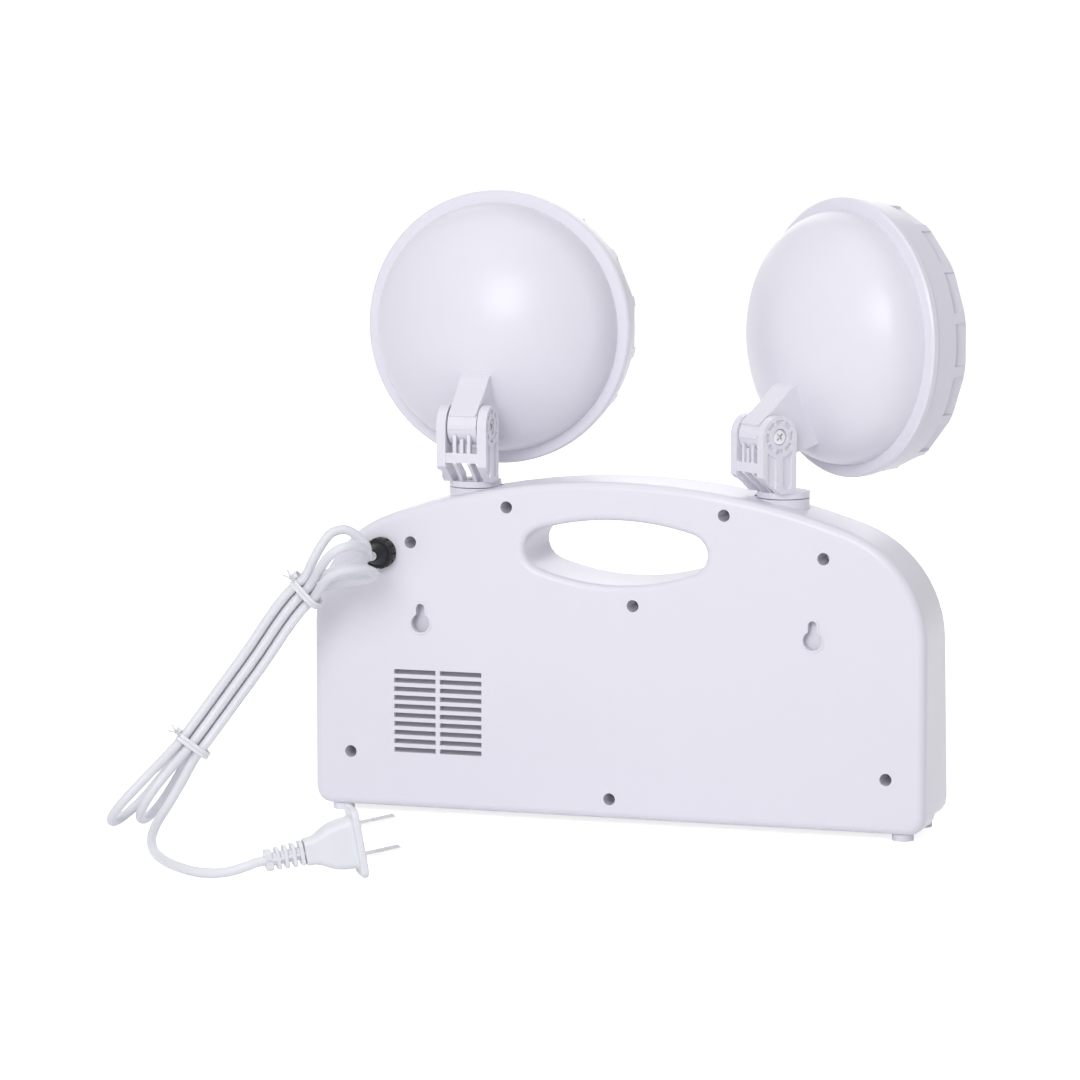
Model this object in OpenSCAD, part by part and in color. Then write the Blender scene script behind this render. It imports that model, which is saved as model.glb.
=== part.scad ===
// Twin head emergency light: an arched housing with a carry handle, a tied mains cord,
// and two lamp heads that turn and tilt on brackets. Lengths are in millimetres.
// +Z is up and the rear face looks along +Y. The origin lies on the floor, midway
// between the four feet. Left and right are as seen from the front.

/* [Housing] */
// Width of the housing
body_w = 265; // [255:1:300]
// Height from the underside to the top of the arch
body_h = 141.5; // [139:0.5:150]
// Depth at the underside
body_d = 48; // [47:1:56]
// Depth at the top of the arch
top_d = 36; // [34:1:42]
// Depth of the rear shell
rear_d = 20; // [19:0.5:22]
// Wall of the shells
wall = 2.5; // [2:0.1:2.8]
// Radius of the shoulders
shoulder_r = 50; // [40:1:55]
// Radius of the arched top
arch_r = 300; // [280:5:340]
// Radius of the two bottom corners
corner_r = 7; // [6.5:0.5:9]
// Rounding of the rear edge
rear_round = 3.5; // [2.5:0.5:5]
// Rounding of the front edge
front_round = 6; // [4:0.5:6]
// Rise of the front shell's underside above the rear shell's
under_step = 2.5; // [1:0.5:3]
// Height of the feet under the rear shell
foot_h = 3; // [2:0.5:5]
// Radius of the feet
foot_r = 4.5; // [3:0.5:6]

/* [Handle opening] */
// Half of its width, inside the rounded rims
handle_half_w = 39.5; // [36:0.5:40]
// Radius of its two ends
handle_end_r = 8.5; // [7:0.5:9]
// Drop of the middle of its ends below the top of the arch
handle_down = 29; // [27.5:0.5:30.5]
// Rise of its top edge above the ends' middle
handle_rise = 13; // [11:0.5:13.5]
// Drop of its bottom edge below the ends' middle
handle_drop = 14; // [12:0.5:14.5]
// Rounding of its rims
rim_round = 3; // [2:0.5:4]

/* [Rear face] */
// Radius of the screw wells
well_r = 2.55; // [2.5:0.05:2.8]
// Distance between the two keyholes
key_gap = 169.8; // [160:0.1:175]
// Radius of a keyhole's round end
key_r = 4; // [3.5:0.1:5]
// Width of a keyhole's slot
key_slot_w = 3.6; // [3:0.1:4.5]
// Rise of the slot's end above the round end
key_rise = 6.4; // [5:0.1:7]
// Height of a vent slot
vent_h = 2; // [1:0.1:2.6]
// Distance from one vent slot to the next
vent_pitch = 3.7; // [3.4:0.1:4]
// Number of vent slots in a column
vent_rows = 10; // [4:1:11]
// Length of a vent slot
vent_w = 18.4; // [10:0.1:18.8]

/* [Lamp heads] */
// Distance between the two turning axes
pan_gap = 134; // [130:1:142]
// Angle of the left head, outward from straight ahead
left_pan = 37; // [0:1:90]
// Radius of the dome where it meets the rim
dome_base_r = 53; // [52:0.5:54]
// Width of the flat rim round the dome
rim_w = 5.25; // [4.75:0.25:6]
// Depth of the dome behind the rim
dome_depth = 32; // [29:0.5:34]
// Radius of the dome's shoulder, where it turns down to the rim
dome_shoulder_r = 20; // [16:0.5:23]
// Wall of the dome
dome_wall = 2.2; // [1.8:0.1:2.4]
// Rise of the head's middle above the tilt screw
head_rise = 38; // [37:0.2:44]
// Distance from the turning axis forward to the rim
rim_forward = 31; // [30:0.5:36]
// Length of the bezel
bezel_l = 17.2; // [15:0.2:20]
// Number of grip pockets round the bezel
grips = 16; // [8:1:20]
// Depth of a grip pocket
grip_depth = 2; // [1:0.1:2.2]

/* [Brackets] */
// Radius of the bracket's round flange
flange_r = 11; // [10.5:0.25:12]
// Radius of the spindle that turns in the housing
spindle_r = 5.5; // [5:0.1:6]
// Distance from the turning axis back to the tilt screw
tilt_back = 10.5; // [9.5:0.25:11]
// Rise of the tilt screw above the bracket's flange
tilt_rise = 23.75; // [23:0.25:26]
// Radius of the round bosses of the cheeks
boss_r = 8.75; // [8.25:0.25:9.25]
// Thickness of a cheek
cheek_t = 4; // [3.5:0.1:4.5]
// Gap between the cheeks
cheek_gap = 13.8; // [13:0.1:15]
// Radius of the tilt screw
bolt_r = 2; // [1.5:0.1:2.2]

/* [Controls] */
// Radius of the test button
button_r = 5; // [4:0.1:6]
// Travel of the test button
button_travel = 1; // [0.5:0.1:1]
// Radius of the indicator lamps
indicator_r = 2.5; // [2:0.1:3]

/* [Battery] */
// Width of the battery
battery_w = 97; // [80:1:98]
// Thickness of the battery
battery_d = 33; // [28:0.5:33]
// Height of the battery
battery_h = 66; // [50:1:66]

/* [Cord] */
// Diameter of the mains cord
cord_d = 4; // [3.5:0.1:4]
// Distance between the plug's blades
blade_gap = 12.7; // [12.7:0.1:12.7]

/* [Hidden] */

// Colours
shell_colour = [0.91, 0.90, 0.94];
black = [0.06, 0.06, 0.07];
steel = [0.72, 0.73, 0.75];
board_green = [0.10, 0.35, 0.20];
cord_colour = [0.93, 0.93, 0.95];
rubber = [0.80, 0.79, 0.82];

// Shared clearances
over = 1;
gap = 0.3;
run_gap = 0.06;
sink = 0.5;

// Places worked out for the housing
half_w = body_w / 2;
rear_y = body_d / 2;
front_y = -body_d / 2;
split_y = rear_y - rear_d;
under_z = foot_h;
front_under_z = under_z + under_step;
top_z = under_z + body_h;
arch_z = top_z - arch_r;
shoulder_x = half_w - shoulder_r;
shoulder_z = arch_z + sqrt(pow(arch_r - shoulder_r, 2) - pow(shoulder_x, 2));
shoulder_turn = asin(shoulder_x / (arch_r - shoulder_r));
front_slope = (body_d - top_d) / body_h;
corner_min = 0.5;
round_steps = 4;
corner_steps = 4;
shoulder_steps = 12;
arch_steps = 16;

// Y of the front face at a height
function front_at(z) = front_y + front_slope * (z - under_z);

// Points along an arc
function arc(x, z, r, from, to, steps) =
    [for (i = [0:steps])
        let (a = from + (to - from) * i / steps)
        [x + r * cos(a), z + r * sin(a)]];

// The housing's outline in XZ, drawn in by an inset, from a given underside
function outline(inset, low) =
    let (
        c = max(corner_r - inset, corner_min),
        cx = half_w - inset - c,
        cz = low + inset + c,
        s = shoulder_r - inset,
        t = arch_r - inset
    )
    concat(
        arc(cx, cz, c, -90, 0, corner_steps),
        arc(shoulder_x, shoulder_z, s, 0, 90 - shoulder_turn, shoulder_steps),
        arc(0, arch_z, t, 90 - shoulder_turn + 1, 90 + shoulder_turn - 1, arch_steps),
        arc(-shoulder_x, shoulder_z, s, 90 + shoulder_turn, 180, shoulder_steps),
        arc(-cx, cz, c, 180, 270, corner_steps)
    );

// Places worked out for the handle opening
handle_z = top_z - handle_down;
handle_end_x = handle_half_w - handle_end_r;
handle_steps = 14;

// Radius of an arc that passes over the middle and meets the end rounding smoothly
function handle_arc_r(d) =
    (pow(handle_end_x, 2) + pow(d, 2) - pow(handle_end_r, 2)) / (2 * (d - handle_end_r));
handle_top_r = handle_arc_r(handle_rise);
handle_low_r = handle_arc_r(handle_drop);
handle_top_z = handle_z + handle_rise - handle_top_r;
handle_low_z = handle_z - handle_drop + handle_low_r;
handle_top_turn = atan2(handle_z - handle_top_z, handle_end_x);
handle_low_turn = atan2(handle_low_z - handle_z, handle_end_x);

// The handle opening's outline in XZ, grown outward
function handle_outline(grow) =
    concat(
        arc(handle_end_x, handle_z, handle_end_r + grow,
            -handle_low_turn, handle_top_turn, handle_steps / 2),
        arc(0, handle_top_z, handle_top_r + grow,
            handle_top_turn + 1, 180 - handle_top_turn - 1, handle_steps),
        arc(-handle_end_x, handle_z, handle_end_r + grow,
            180 - handle_top_turn, 180 + handle_low_turn, handle_steps / 2),
        arc(0, handle_low_z, handle_low_r + grow,
            180 + handle_low_turn + 1, 360 - handle_low_turn - 1, handle_steps)
    );

// An outline in XZ as a ring of points, upright or leaning with the front face
function ring(points, y, slope = 0) =
    [for (p = points) [p[0], y + slope * (p[1] - under_z), p[1]]];

// A closed solid through a list of rings with equal numbers of points
module skin(rings) {
    n = len(rings[0]);
    m = len(rings);
    polyhedron(
        points = [for (r = rings) each r],
        faces = concat(
            [[for (i = [n - 1:-1:0]) i]],
            [for (k = [0:m - 2], i = [0:n - 1])
                [k * n + i, k * n + (i + 1) % n, (k + 1) * n + (i + 1) % n, (k + 1) * n + i]],
            [[for (i = [0:n - 1]) (m - 1) * n + i]]
        )
    );
}

// A 2D shape in XZ extruded along Y
module along_y(from, to) {
    translate([0, to, 0])
        rotate([90, 0, 0])
            linear_extrude(to - from)
                children();
}

// A 2D shape in YZ extruded along X
module along_x(from, to) {
    translate([from, 0, 0])
        rotate([90, 0, 90])
            linear_extrude(to - from)
                children();
}

// A round bar along Y
module bar_y(x, z, r, from, to) {
    translate([x, to, z])
        rotate([90, 0, 0])
            cylinder(r = r, h = to - from, $fn = 40);
}

// A round bar along X
module bar_x(y, z, r, from, to) {
    translate([from, y, z])
        rotate([0, 90, 0])
            cylinder(r = r, h = to - from, $fn = 40);
}

// A box between two corners
module block(low, high) {
    translate(low)
        cube(high - low);
}

// Screws of the housing: the two shells are joined at eight posts
post_r = 4.3;
well_floor = 4;
pilot_r = 1.6;
pilot_depth = 13;
shell_screw_r = 1.4;
shell_screw_head_r = 2.3;
shell_screw_head_h = 2.2;
shell_screw_l = 14;
cross_w = 0.7;
cross_share = 0.6;
cross_depth = 1;
well_floor_y = split_y + well_floor;
top_screw_x = 47;
top_screw_drop = 12;
shoulder_screw_inset = 43.2;
shoulder_screw_drop = 28.3;
middle_screw_x = -8;
middle_screw_drop = 22.2;
side_screw_inset = 16.3;
side_screw_rise = 23;
foot_screw_x = 2;
foot_screw_rise = 8.5;
screw_places = [
    for (side = [-1, 1]) each [
        [side * top_screw_x, top_z - top_screw_drop],
        [side * (half_w - shoulder_screw_inset), top_z - shoulder_screw_drop],
        [side * (half_w - side_screw_inset), under_z + side_screw_rise]
    ],
    [middle_screw_x, handle_z - middle_screw_drop],
    [foot_screw_x, under_z + foot_screw_rise]
];

// Keyholes, vents and gland on the rear face
key_rise_z = 79.1;
key_z = under_z + key_rise_z;
vent_inset = 74.5;
vent_inner_x = half_w - vent_inset;
vent_rib = 1.9;
vent_rise = 23.8;
vent_low_z = under_z + vent_rise;
gland_inset = 30.5;
gland_drop = 33;
gland_x = half_w - gland_inset;
gland_z = top_z - gland_drop;
gland_hole_r = 4.9;

// Collars that hold the brackets' spindles
pan_x = pan_gap / 2;
collar_r = 11;
collar_top_drop = 5.9;
collar_l = 12.3;
collar_top_z = top_z - collar_top_drop;
collar_low_z = collar_top_z - collar_l;
collar_room = 1;
spindle_gap = 0.1;

// Controls on the front face
control_drop = 46.5;
control_z = top_z - control_drop;
button_inset = 62.5;
button_x = half_w - button_inset;
indicator_inset = 28.5;
indicator_pitch = 10;
indicators = 3;
indicator_x = [for (k = [0:indicators - 1]) half_w - indicator_inset - k * indicator_pitch];
button_gap = 0.2;

// Boards
board_t = 1.6;
board_w = 72;
board_h = 60;
board_side_gap = 20;
board_rise = 14.5;
board_x = half_w - wall - board_side_gap - board_w / 2;
board_z = under_z + wall + board_rise + board_h / 2;
board_y = -5;
board_post_r = 3.2;
board_pilot_r = 1.1;
board_inset = 4.5;
board_screw_places = [for (sx = [-1, 1], sz = [-1, 1])
    [board_x + sx * (board_w / 2 - board_inset), board_z + sz * (board_h / 2 - board_inset)]];
small_w = 60;
small_inset_x = 48.5;
small_x = half_w - small_inset_x;
small_h = 15;
small_y = -7.5;
small_inset = 3.5;
small_screw_places = [for (sx = [-1, 1]) [small_x + sx * (small_w / 2 - small_inset), control_z]];
board_screw_r = 1.05;
board_screw_head_r = 2.1;
board_screw_head_h = 1.4;
board_screw_l = 7;

// Battery and its cradle
battery_side_gap = 46.5;
battery_rise = 12;
battery_x = wall + battery_side_gap + battery_w / 2 - half_w;
battery_z = under_z + wall + battery_rise;
battery_y = -13.7;
cradle_t = 2;
cradle_d = 18;
cradle_rib_h = 30;
battery_back = battery_y + battery_d;

// Screw well, keyhole and vent cuts in the rear face
module rear_cuts() {
    for (s = screw_places) {
        bar_y(s[0], s[1], well_r, well_floor_y, rear_y + over);
        bar_y(s[0], s[1], pilot_r, split_y - over, well_floor_y + over);
    }
    for (side = [-1, 1]) {
        bar_y(side * key_gap / 2, key_z, key_r, rear_y - wall - over, rear_y + over);
        bar_y(side * key_gap / 2, key_z + key_rise, key_slot_w / 2,
            rear_y - wall - over, rear_y + over);
        translate([side * key_gap / 2, 0, 0])
            block([-key_slot_w / 2, rear_y - wall - over, key_z],
                [key_slot_w / 2, rear_y + over, key_z + key_rise]);
    }
    for (column = [0, 1], row = [0:vent_rows - 1])
        translate([vent_inner_x + column * (vent_w + vent_rib), 0, vent_low_z + row * vent_pitch])
            block([0, rear_y - wall - over, 0], [vent_w, rear_y + over, vent_h]);
    bar_y(gland_x, gland_z, gland_hole_r, rear_y - wall - over, rear_y + over);
}

// A collar with the room above its top, the bore and the room for the spindle's foot
module collar_cuts() {
    for (side = [-1, 1])
        translate([side * pan_x, split_y, 0]) {
            translate([0, 0, collar_low_z - over])
                cylinder(r = spindle_r + spindle_gap, h = top_z - collar_low_z, $fn = 64);
            translate([0, 0, collar_top_z])
                cylinder(r = collar_r + collar_room, h = body_h, $fn = 64);
        }
}

module collars() {
    for (side = [-1, 1])
        translate([side * pan_x, split_y, collar_low_z])
            cylinder(r = collar_r, h = collar_top_z - collar_low_z, $fn = 64);
}

// Posts for the housing screws
module posts(from, to) {
    for (s = screw_places)
        bar_y(s[0], s[1], post_r, from, to);
}

module rear_shell() {
    color(shell_colour)
        difference() {
            union() {
                difference() {
                    skin(concat(
                        [ring(outline(0, under_z), split_y)],
                        [for (k = [0:round_steps])
                            let (a = 90 * k / round_steps)
                            ring(outline(rear_round * (1 - cos(a)), under_z),
                                rear_y - rear_round * (1 - sin(a)))]
                    ));
                    along_y(split_y - over, rear_y - wall)
                        polygon(outline(wall, under_z));
                }
                along_y(split_y, rear_y - wall / 2)
                    polygon(handle_outline(wall));
                posts(split_y, rear_y - wall / 2);
                intersection() {
                    collars();
                    block([-half_w, split_y, collar_low_z], [half_w, rear_y, top_z]);
                }
            }
            skin([
                ring(handle_outline(0), split_y - over),
                for (k = [0:round_steps])
                    let (a = 90 * k / round_steps)
                    ring(handle_outline(rim_round * (1 - cos(a))),
                        rear_y - rim_round * (1 - sin(a))),
                ring(handle_outline(rim_round), rear_y + over)
            ]);
            rear_cuts();
            collar_cuts();
        }
}

// Room inside the front shell
module front_room() {
    inner_round = front_round - wall;
    skin(concat(
        [for (k = [round_steps:-1:0])
            let (a = 90 * k / round_steps)
            ring(outline(wall + inner_round * (1 - cos(a)), front_under_z),
                front_y + wall + inner_round * (1 - sin(a)), front_slope)],
        [ring(outline(wall, front_under_z), split_y + over)]
    ));
}

// Everything that the front shell carries inside, before it is trimmed to the shell
module front_carriers() {
    along_y(front_y, split_y)
        polygon(handle_outline(wall));
    posts(front_y, split_y);
    for (s = board_screw_places)
        bar_y(s[0], s[1], board_post_r, front_y, board_y);
    for (s = small_screw_places)
        bar_y(s[0], s[1], board_post_r, front_y, small_y);
    for (x = [battery_x - battery_w / 2 - cradle_t - gap, battery_x + battery_w / 2 + gap])
        block([x, front_y, battery_z - cradle_t],
            [x + cradle_t, battery_y + cradle_d, battery_z + cradle_rib_h]);
    block([battery_x - battery_w / 2 - cradle_t - gap, front_y, battery_z - cradle_t],
        [battery_x + battery_w / 2 + cradle_t + gap, battery_y + cradle_d, battery_z]);
    for (x = [-battery_w / 4, battery_w / 4])
        block([battery_x + x - cradle_t / 2, front_y, battery_z],
            [battery_x + x + cradle_t / 2, battery_y, battery_z + battery_h]);
}

module front_shell() {
    color(shell_colour)
        difference() {
            union() {
                difference() {
                    skin(concat(
                        [for (k = [round_steps:-1:0])
                            let (a = 90 * k / round_steps)
                            ring(outline(front_round * (1 - cos(a)), front_under_z),
                                front_y + front_round * (1 - sin(a)), front_slope)],
                        [ring(outline(0, front_under_z), split_y)]
                    ));
                    front_room();
                }
                intersection() {
                    skin([
                        ring(outline(wall / 2, front_under_z), front_y + wall / 2, front_slope),
                        ring(outline(wall / 2, front_under_z), split_y)
                    ]);
                    front_carriers();
                }
                intersection() {
                    collars();
                    block([-half_w, front_y, collar_low_z], [half_w, split_y, top_z]);
                }
            }
            skin([
                ring(handle_outline(rim_round), front_y - over, front_slope),
                for (k = [round_steps:-1:0])
                    let (a = 90 * k / round_steps)
                    ring(handle_outline(rim_round * (1 - cos(a))),
                        front_y + rim_round * (1 - sin(a)), front_slope),
                ring(handle_outline(0), split_y + over)
            ]);
            for (s = screw_places)
                bar_y(s[0], s[1], pilot_r, split_y - pilot_depth, split_y + over);
            for (s = board_screw_places)
                bar_y(s[0], s[1], board_pilot_r, board_y - board_screw_l, board_y + over);
            for (s = small_screw_places)
                bar_y(s[0], s[1], board_pilot_r, small_y - board_screw_l, small_y + over);
            bar_y(button_x, control_z, button_r + button_gap, front_y, small_y);
            for (x = indicator_x)
                bar_y(x, control_z, indicator_r + button_gap, front_y, small_y);
            collar_cuts();
        }
}

// A screw along +Y whose head's seat is at the origin and whose point looks along -Y
module pan_head_screw(r, length, head_r, head_h) {
    difference() {
        union() {
            bar_y(0, 0, r, -length, 0);
            bar_y(0, 0, head_r, 0, head_h);
        }
        for (turn = [0, 90])
            rotate([0, turn, 0])
                block([-head_r * cross_share, head_h - cross_depth, -cross_w / 2],
                    [head_r * cross_share, head_h + over, cross_w / 2]);
    }
}

module shell_screws() {
    color(steel)
        for (s = screw_places)
            translate([s[0], well_floor_y, s[1]])
                pan_head_screw(shell_screw_r, shell_screw_l, shell_screw_head_r,
                    shell_screw_head_h);
}

// Feet stand in two rows under the two shells
foot_inset_x = 10.5;
foot_inset_y = 7.5;
foot_x = half_w - foot_inset_x;
foot_rear_y = rear_y - foot_inset_y;

module rubber_feet() {
    color(rubber)
        for (sx = [-1, 1]) {
            translate([sx * foot_x, foot_rear_y, 0])
                cylinder(r = foot_r, h = under_z, $fn = 48);
            translate([sx * foot_x, -foot_rear_y, 0])
                cylinder(r = foot_r, h = front_under_z, $fn = 48);
        }
}

// Gland: a stepped black bushing that is held by a nut inside
gland_flange_r = 6.6;
gland_flange_h = 5;
gland_nose_r = 4.8;
gland_nose_h = 4;
gland_shank_h = 9;
gland_nut_r = 7.2;
gland_nut_h = 3.5;
gland_face_y = rear_y + gland_flange_h + gland_nose_h;
gland_inner_y = rear_y - gland_shank_h;
gland_ribs = 12;
gland_rib_w = 1.4;
gland_rib_d = 0.8;

module cord_gland() {
    color(black)
        difference() {
            union() {
                bar_y(gland_x, gland_z, gland_flange_r, rear_y, rear_y + gland_flange_h);
                bar_y(gland_x, gland_z, gland_nose_r, rear_y, gland_face_y);
                bar_y(gland_x, gland_z, gland_hole_r - run_gap, gland_inner_y, rear_y + over);
            }
            translate([gland_x, 0, gland_z])
                for (k = [0:gland_ribs - 1])
                    rotate([0, 360 * k / gland_ribs, 0])
                        block([gland_flange_r - gland_rib_d, rear_y + gland_rib_w, -gland_rib_w / 2],
                            [gland_flange_r + over, rear_y + gland_flange_h + over, gland_rib_w / 2]);
        }
}

module gland_nut() {
    color(black)
        difference() {
            translate([gland_x, rear_y - wall, gland_z])
                rotate([90, 0, 0])
                    cylinder(r = gland_nut_r, h = gland_nut_h, $fn = 6);
            bar_y(gland_x, gland_z, gland_hole_r, gland_inner_y, rear_y);
        }
}

// Battery with its terminals and the foam that presses it into the cradle
terminal_w = 6.3;
terminal_h = 7;
terminal_t = 0.8;
terminal_inset = 14;
terminal_pitch = 26;
terminal_x = [for (k = [0, 1]) battery_x - battery_w / 2 + terminal_inset + k * terminal_pitch];
pad_w = 60;
pad_h = 9;

module battery_case() {
    color([0.16, 0.17, 0.20])
        difference() {
            block([battery_x - battery_w / 2, battery_y, battery_z],
                [battery_x + battery_w / 2, battery_back, battery_z + battery_h]);
            for (x = terminal_x)
                block([x - terminal_w, battery_y + battery_d / 3, battery_z + battery_h - terminal_t],
                    [x + terminal_w, battery_back - battery_d / 3, battery_z + battery_h + over]);
        }
}

module battery_terminals() {
    color(steel)
        for (x = terminal_x)
            block([x - terminal_w / 2, battery_y + battery_d / 2 - terminal_t / 2,
                    battery_z + battery_h - terminal_t],
                [x + terminal_w / 2, battery_y + battery_d / 2 + terminal_t / 2,
                    battery_z + battery_h + terminal_h]);
}

module battery_pads() {
    color([0.25, 0.25, 0.27])
        for (z = [battery_z + pad_h, battery_z + battery_h - 2 * pad_h])
            block([battery_x - pad_w / 2, battery_back, z],
                [battery_x + pad_w / 2, rear_y - wall, z + pad_h]);
}

// A screw for the boards, its head's seat at the origin, its point along -Y
module board_screw() {
    pan_head_screw(board_screw_r, board_screw_l - gap, board_screw_head_r, board_screw_head_h);
}

module control_board() {
    color(board_green)
        difference() {
            block([board_x - board_w / 2, board_y, board_z - board_h / 2],
                [board_x + board_w / 2, board_y + board_t, board_z + board_h / 2]);
            for (s = board_screw_places)
                bar_y(s[0], s[1], board_pilot_r + gap, board_y - over, board_y + board_t + over);
        }
}

module board_screws() {
    color(steel)
        for (s = board_screw_places)
            translate([s[0], board_y + board_t, s[1]])
                board_screw();
}

// Parts on the control board, all on its rear side
part_y = board_y + board_t;
core_right = 11;
core_down = 7;
core_x = board_x + core_right;
core_z = board_z - core_down;
core_w = 38;
core_h = 32;
core_d = 14;
core_leg = 6;
core_window_w = 7;
core_lift = 4;
coil_over = 3.6;

module transformer_core() {
    color([0.45, 0.45, 0.47])
        difference() {
            block([core_x - core_w / 2, part_y, core_z - core_h / 2],
                [core_x + core_w / 2, part_y + core_lift + core_d, core_z + core_h / 2]);
            for (side = [-1, 1])
                translate([core_x + side * (core_w / 2 - core_leg - core_window_w / 2), 0, core_z])
                    block([-core_window_w / 2, part_y - over, core_leg - core_h / 2],
                        [core_window_w / 2, part_y + core_lift + core_d + over,
                            core_h / 2 - core_leg]);
        }
}

module transformer_coil() {
    coil_w = core_w - 2 * core_leg - 2 * gap;
    leg_w = core_w - 2 * core_leg - 2 * core_window_w;
    top = part_y + core_lift + core_d;
    color([0.85, 0.65, 0.15])
        difference() {
            block([core_x - coil_w / 2, part_y + gap, core_z - core_h / 2 + core_leg + gap],
                [core_x + coil_w / 2, top + coil_over, core_z + core_h / 2 - core_leg - gap]);
            block([core_x - leg_w / 2 - gap, part_y - over, core_z - core_h],
                [core_x + leg_w / 2 + gap, top + gap, core_z + core_h]);
        }
}

large_capacitor = [-24, 18, 6.5, 20];
small_capacitor = [-8, 19, 5, 16];

module capacitors() {
    color([0.12, 0.14, 0.30])
        for (c = [large_capacitor, small_capacitor])
            bar_y(board_x + c[0], board_z + c[1], c[2], part_y, part_y + c[3]);
}

relay_w = 19;
relay_h = 15.5;
relay_d = 15.5;
relay_right = 17;
relay_up = 19;
relay_x = board_x + relay_right;
relay_z = board_z + relay_up;

module relay() {
    color([0.10, 0.30, 0.60])
        block([relay_x - relay_w / 2, part_y, relay_z - relay_h / 2],
            [relay_x + relay_w / 2, part_y + relay_d, relay_z + relay_h / 2]);
}

block_w = 12;
block_l = 25;
block_d = 11;
block_left = 24;
block_down = 6;
block_x = board_x - block_left;
block_z = board_z - block_down;
block_holes = 4;
block_hole_r = 1.8;
block_hole_l = 6;

module terminal_block() {
    pitch = block_l / block_holes;
    color([0.20, 0.50, 0.25])
        difference() {
            block([block_x - block_w / 2, part_y, block_z - block_l / 2],
                [block_x + block_w / 2, part_y + block_d, block_z + block_l / 2]);
            for (k = [0:block_holes - 1])
                bar_y(block_x, block_z - block_l / 2 + pitch * (k + 0.5), block_hole_r,
                    part_y + block_d - block_hole_l, part_y + block_d + over);
        }
}

// Small board behind the front face, with the test switch and the indicator lamps
switch_w = 6;
switch_d = 3.5;
button_flange_h = 1.2;
button_flange = 1.2;
button_proud = 1.5;
button_stem_r = 2;
front_wall_y = front_at(control_z);
button_inner_y = front_wall_y + wall + front_slope * (button_r + button_flange) + gap;
switch_y = small_y - switch_d;

module switch_board() {
    color(board_green)
        difference() {
            block([small_x - small_w / 2, small_y, control_z - small_h / 2],
                [small_x + small_w / 2, small_y + board_t, control_z + small_h / 2]);
            for (s = small_screw_places)
                bar_y(s[0], s[1], board_pilot_r + gap, small_y - over, small_y + board_t + over);
        }
}

module switch_board_screws() {
    color(steel)
        for (s = small_screw_places)
            translate([s[0], small_y + board_t, s[1]])
                board_screw();
}

module test_switch() {
    color(black)
        block([button_x - switch_w / 2, small_y - switch_d + button_travel + gap,
                control_z - switch_w / 2],
            [button_x + switch_w / 2, small_y, control_z + switch_w / 2]);
}

module test_button() {
    color([0.80, 0.12, 0.12]) {
        bar_y(button_x, control_z, button_r, front_wall_y - button_proud,
            button_inner_y + button_flange_h / 2);
        bar_y(button_x, control_z, button_r + button_flange, button_inner_y,
            button_inner_y + button_flange_h);
        bar_y(button_x, control_z, button_stem_r, button_inner_y, switch_y);
    }
}

module indicator_lamps() {
    color([0.20, 0.75, 0.30])
        for (x = indicator_x) {
            bar_y(x, control_z, indicator_r, front_wall_y - sink, small_y);
            translate([x, front_wall_y - sink, control_z])
                intersection() {
                    sphere(r = indicator_r, $fn = 32);
                    block([-indicator_r, -indicator_r, -indicator_r],
                        [indicator_r, sink, indicator_r]);
                }
        }
}

// Brackets. Each head is drawn at the middle, looking along -Y, and then put on its axis.
flange_gap = 0.35;
turret_z = collar_top_z + flange_gap;
flange_t = 2.5;
flange_top_z = turret_z + flange_t;
tilt_z = flange_top_z + tilt_rise;
head_z = tilt_z + head_rise;
foot_flange_r = 8;
foot_flange_t = 2.2;
foot_flange_drop = 3.6;
foot_flange_z = collar_low_z - foot_flange_drop;
washer_t = 0.9;
wire_r = 3;
cheek_out = cheek_gap / 2 + cheek_t;
cheek_front_y = tilt_back - boss_r;
cheek_rear_y = tilt_back + boss_r;
slant_drop = 16.5;
slant_z = tilt_z - slant_drop;
cheek_foot_share = 0.85;
cheek_foot_rise = 1.2;
ring_outer_r = 7;
ring_inner_r = 5.2;
ring_depth = 1;
ring_parts = 8;
spoke_w = 1.3;
head_recess_r = 3.4;
head_recess_depth = 1.8;
nut_r = 4.05;
nut_depth = 2.6;
bar_h = 4.2;
bar_t = 3.4;
bar_drop = 10.8;
bar_top_z = tilt_z - bar_drop;
rib_t = 1.5;
rib_x = 3.1;
rib_setback = 3;
rib_foot_share = 0.8;
rib_foot_rise = 2;
rib_edge = 1;
saddle_gap = 0.5;
saddle_drop = 3.2;
middle_drop = 5;
flute_w = 4.6;
flute_rib = 3.4;
flute_top_drop = 8.4;
flute_rise = 4;
flute_top_z = tilt_z - flute_top_drop;
flute_low_z = flange_top_z + flute_rise;

module on_turning_axis(side) {
    translate([side * pan_x, split_y, 0])
        rotate([0, 0, side < 0 ? -left_pan : 0])
            children();
}

// Side view of a cheek in YZ
module cheek_side() {
    translate([tilt_back, tilt_z])
        circle(r = boss_r, $fn = 64);
    polygon([
        [cheek_front_y, tilt_z],
        [cheek_front_y, flange_top_z - sink],
        [flange_r * cheek_foot_share, flange_top_z - sink],
        [flange_r, flange_top_z + cheek_foot_rise],
        [cheek_rear_y, slant_z],
        [cheek_rear_y, tilt_z]
    ]);
}

// Side view of a rib between the cheeks
module rib_side() {
    polygon([
        [cheek_front_y + rib_setback, flange_top_z - sink],
        [flange_r * rib_foot_share, flange_top_z - sink],
        [flange_r, flange_top_z + rib_foot_rise],
        [cheek_rear_y - sink, slant_z + rib_edge],
        [cheek_rear_y - sink, bar_top_z - bar_h / 2],
        [cheek_rear_y - bar_t, bar_top_z - bar_h / 2],
        [cheek_front_y + rib_setback, flange_top_z + rib_setback]
    ]);
}

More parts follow.
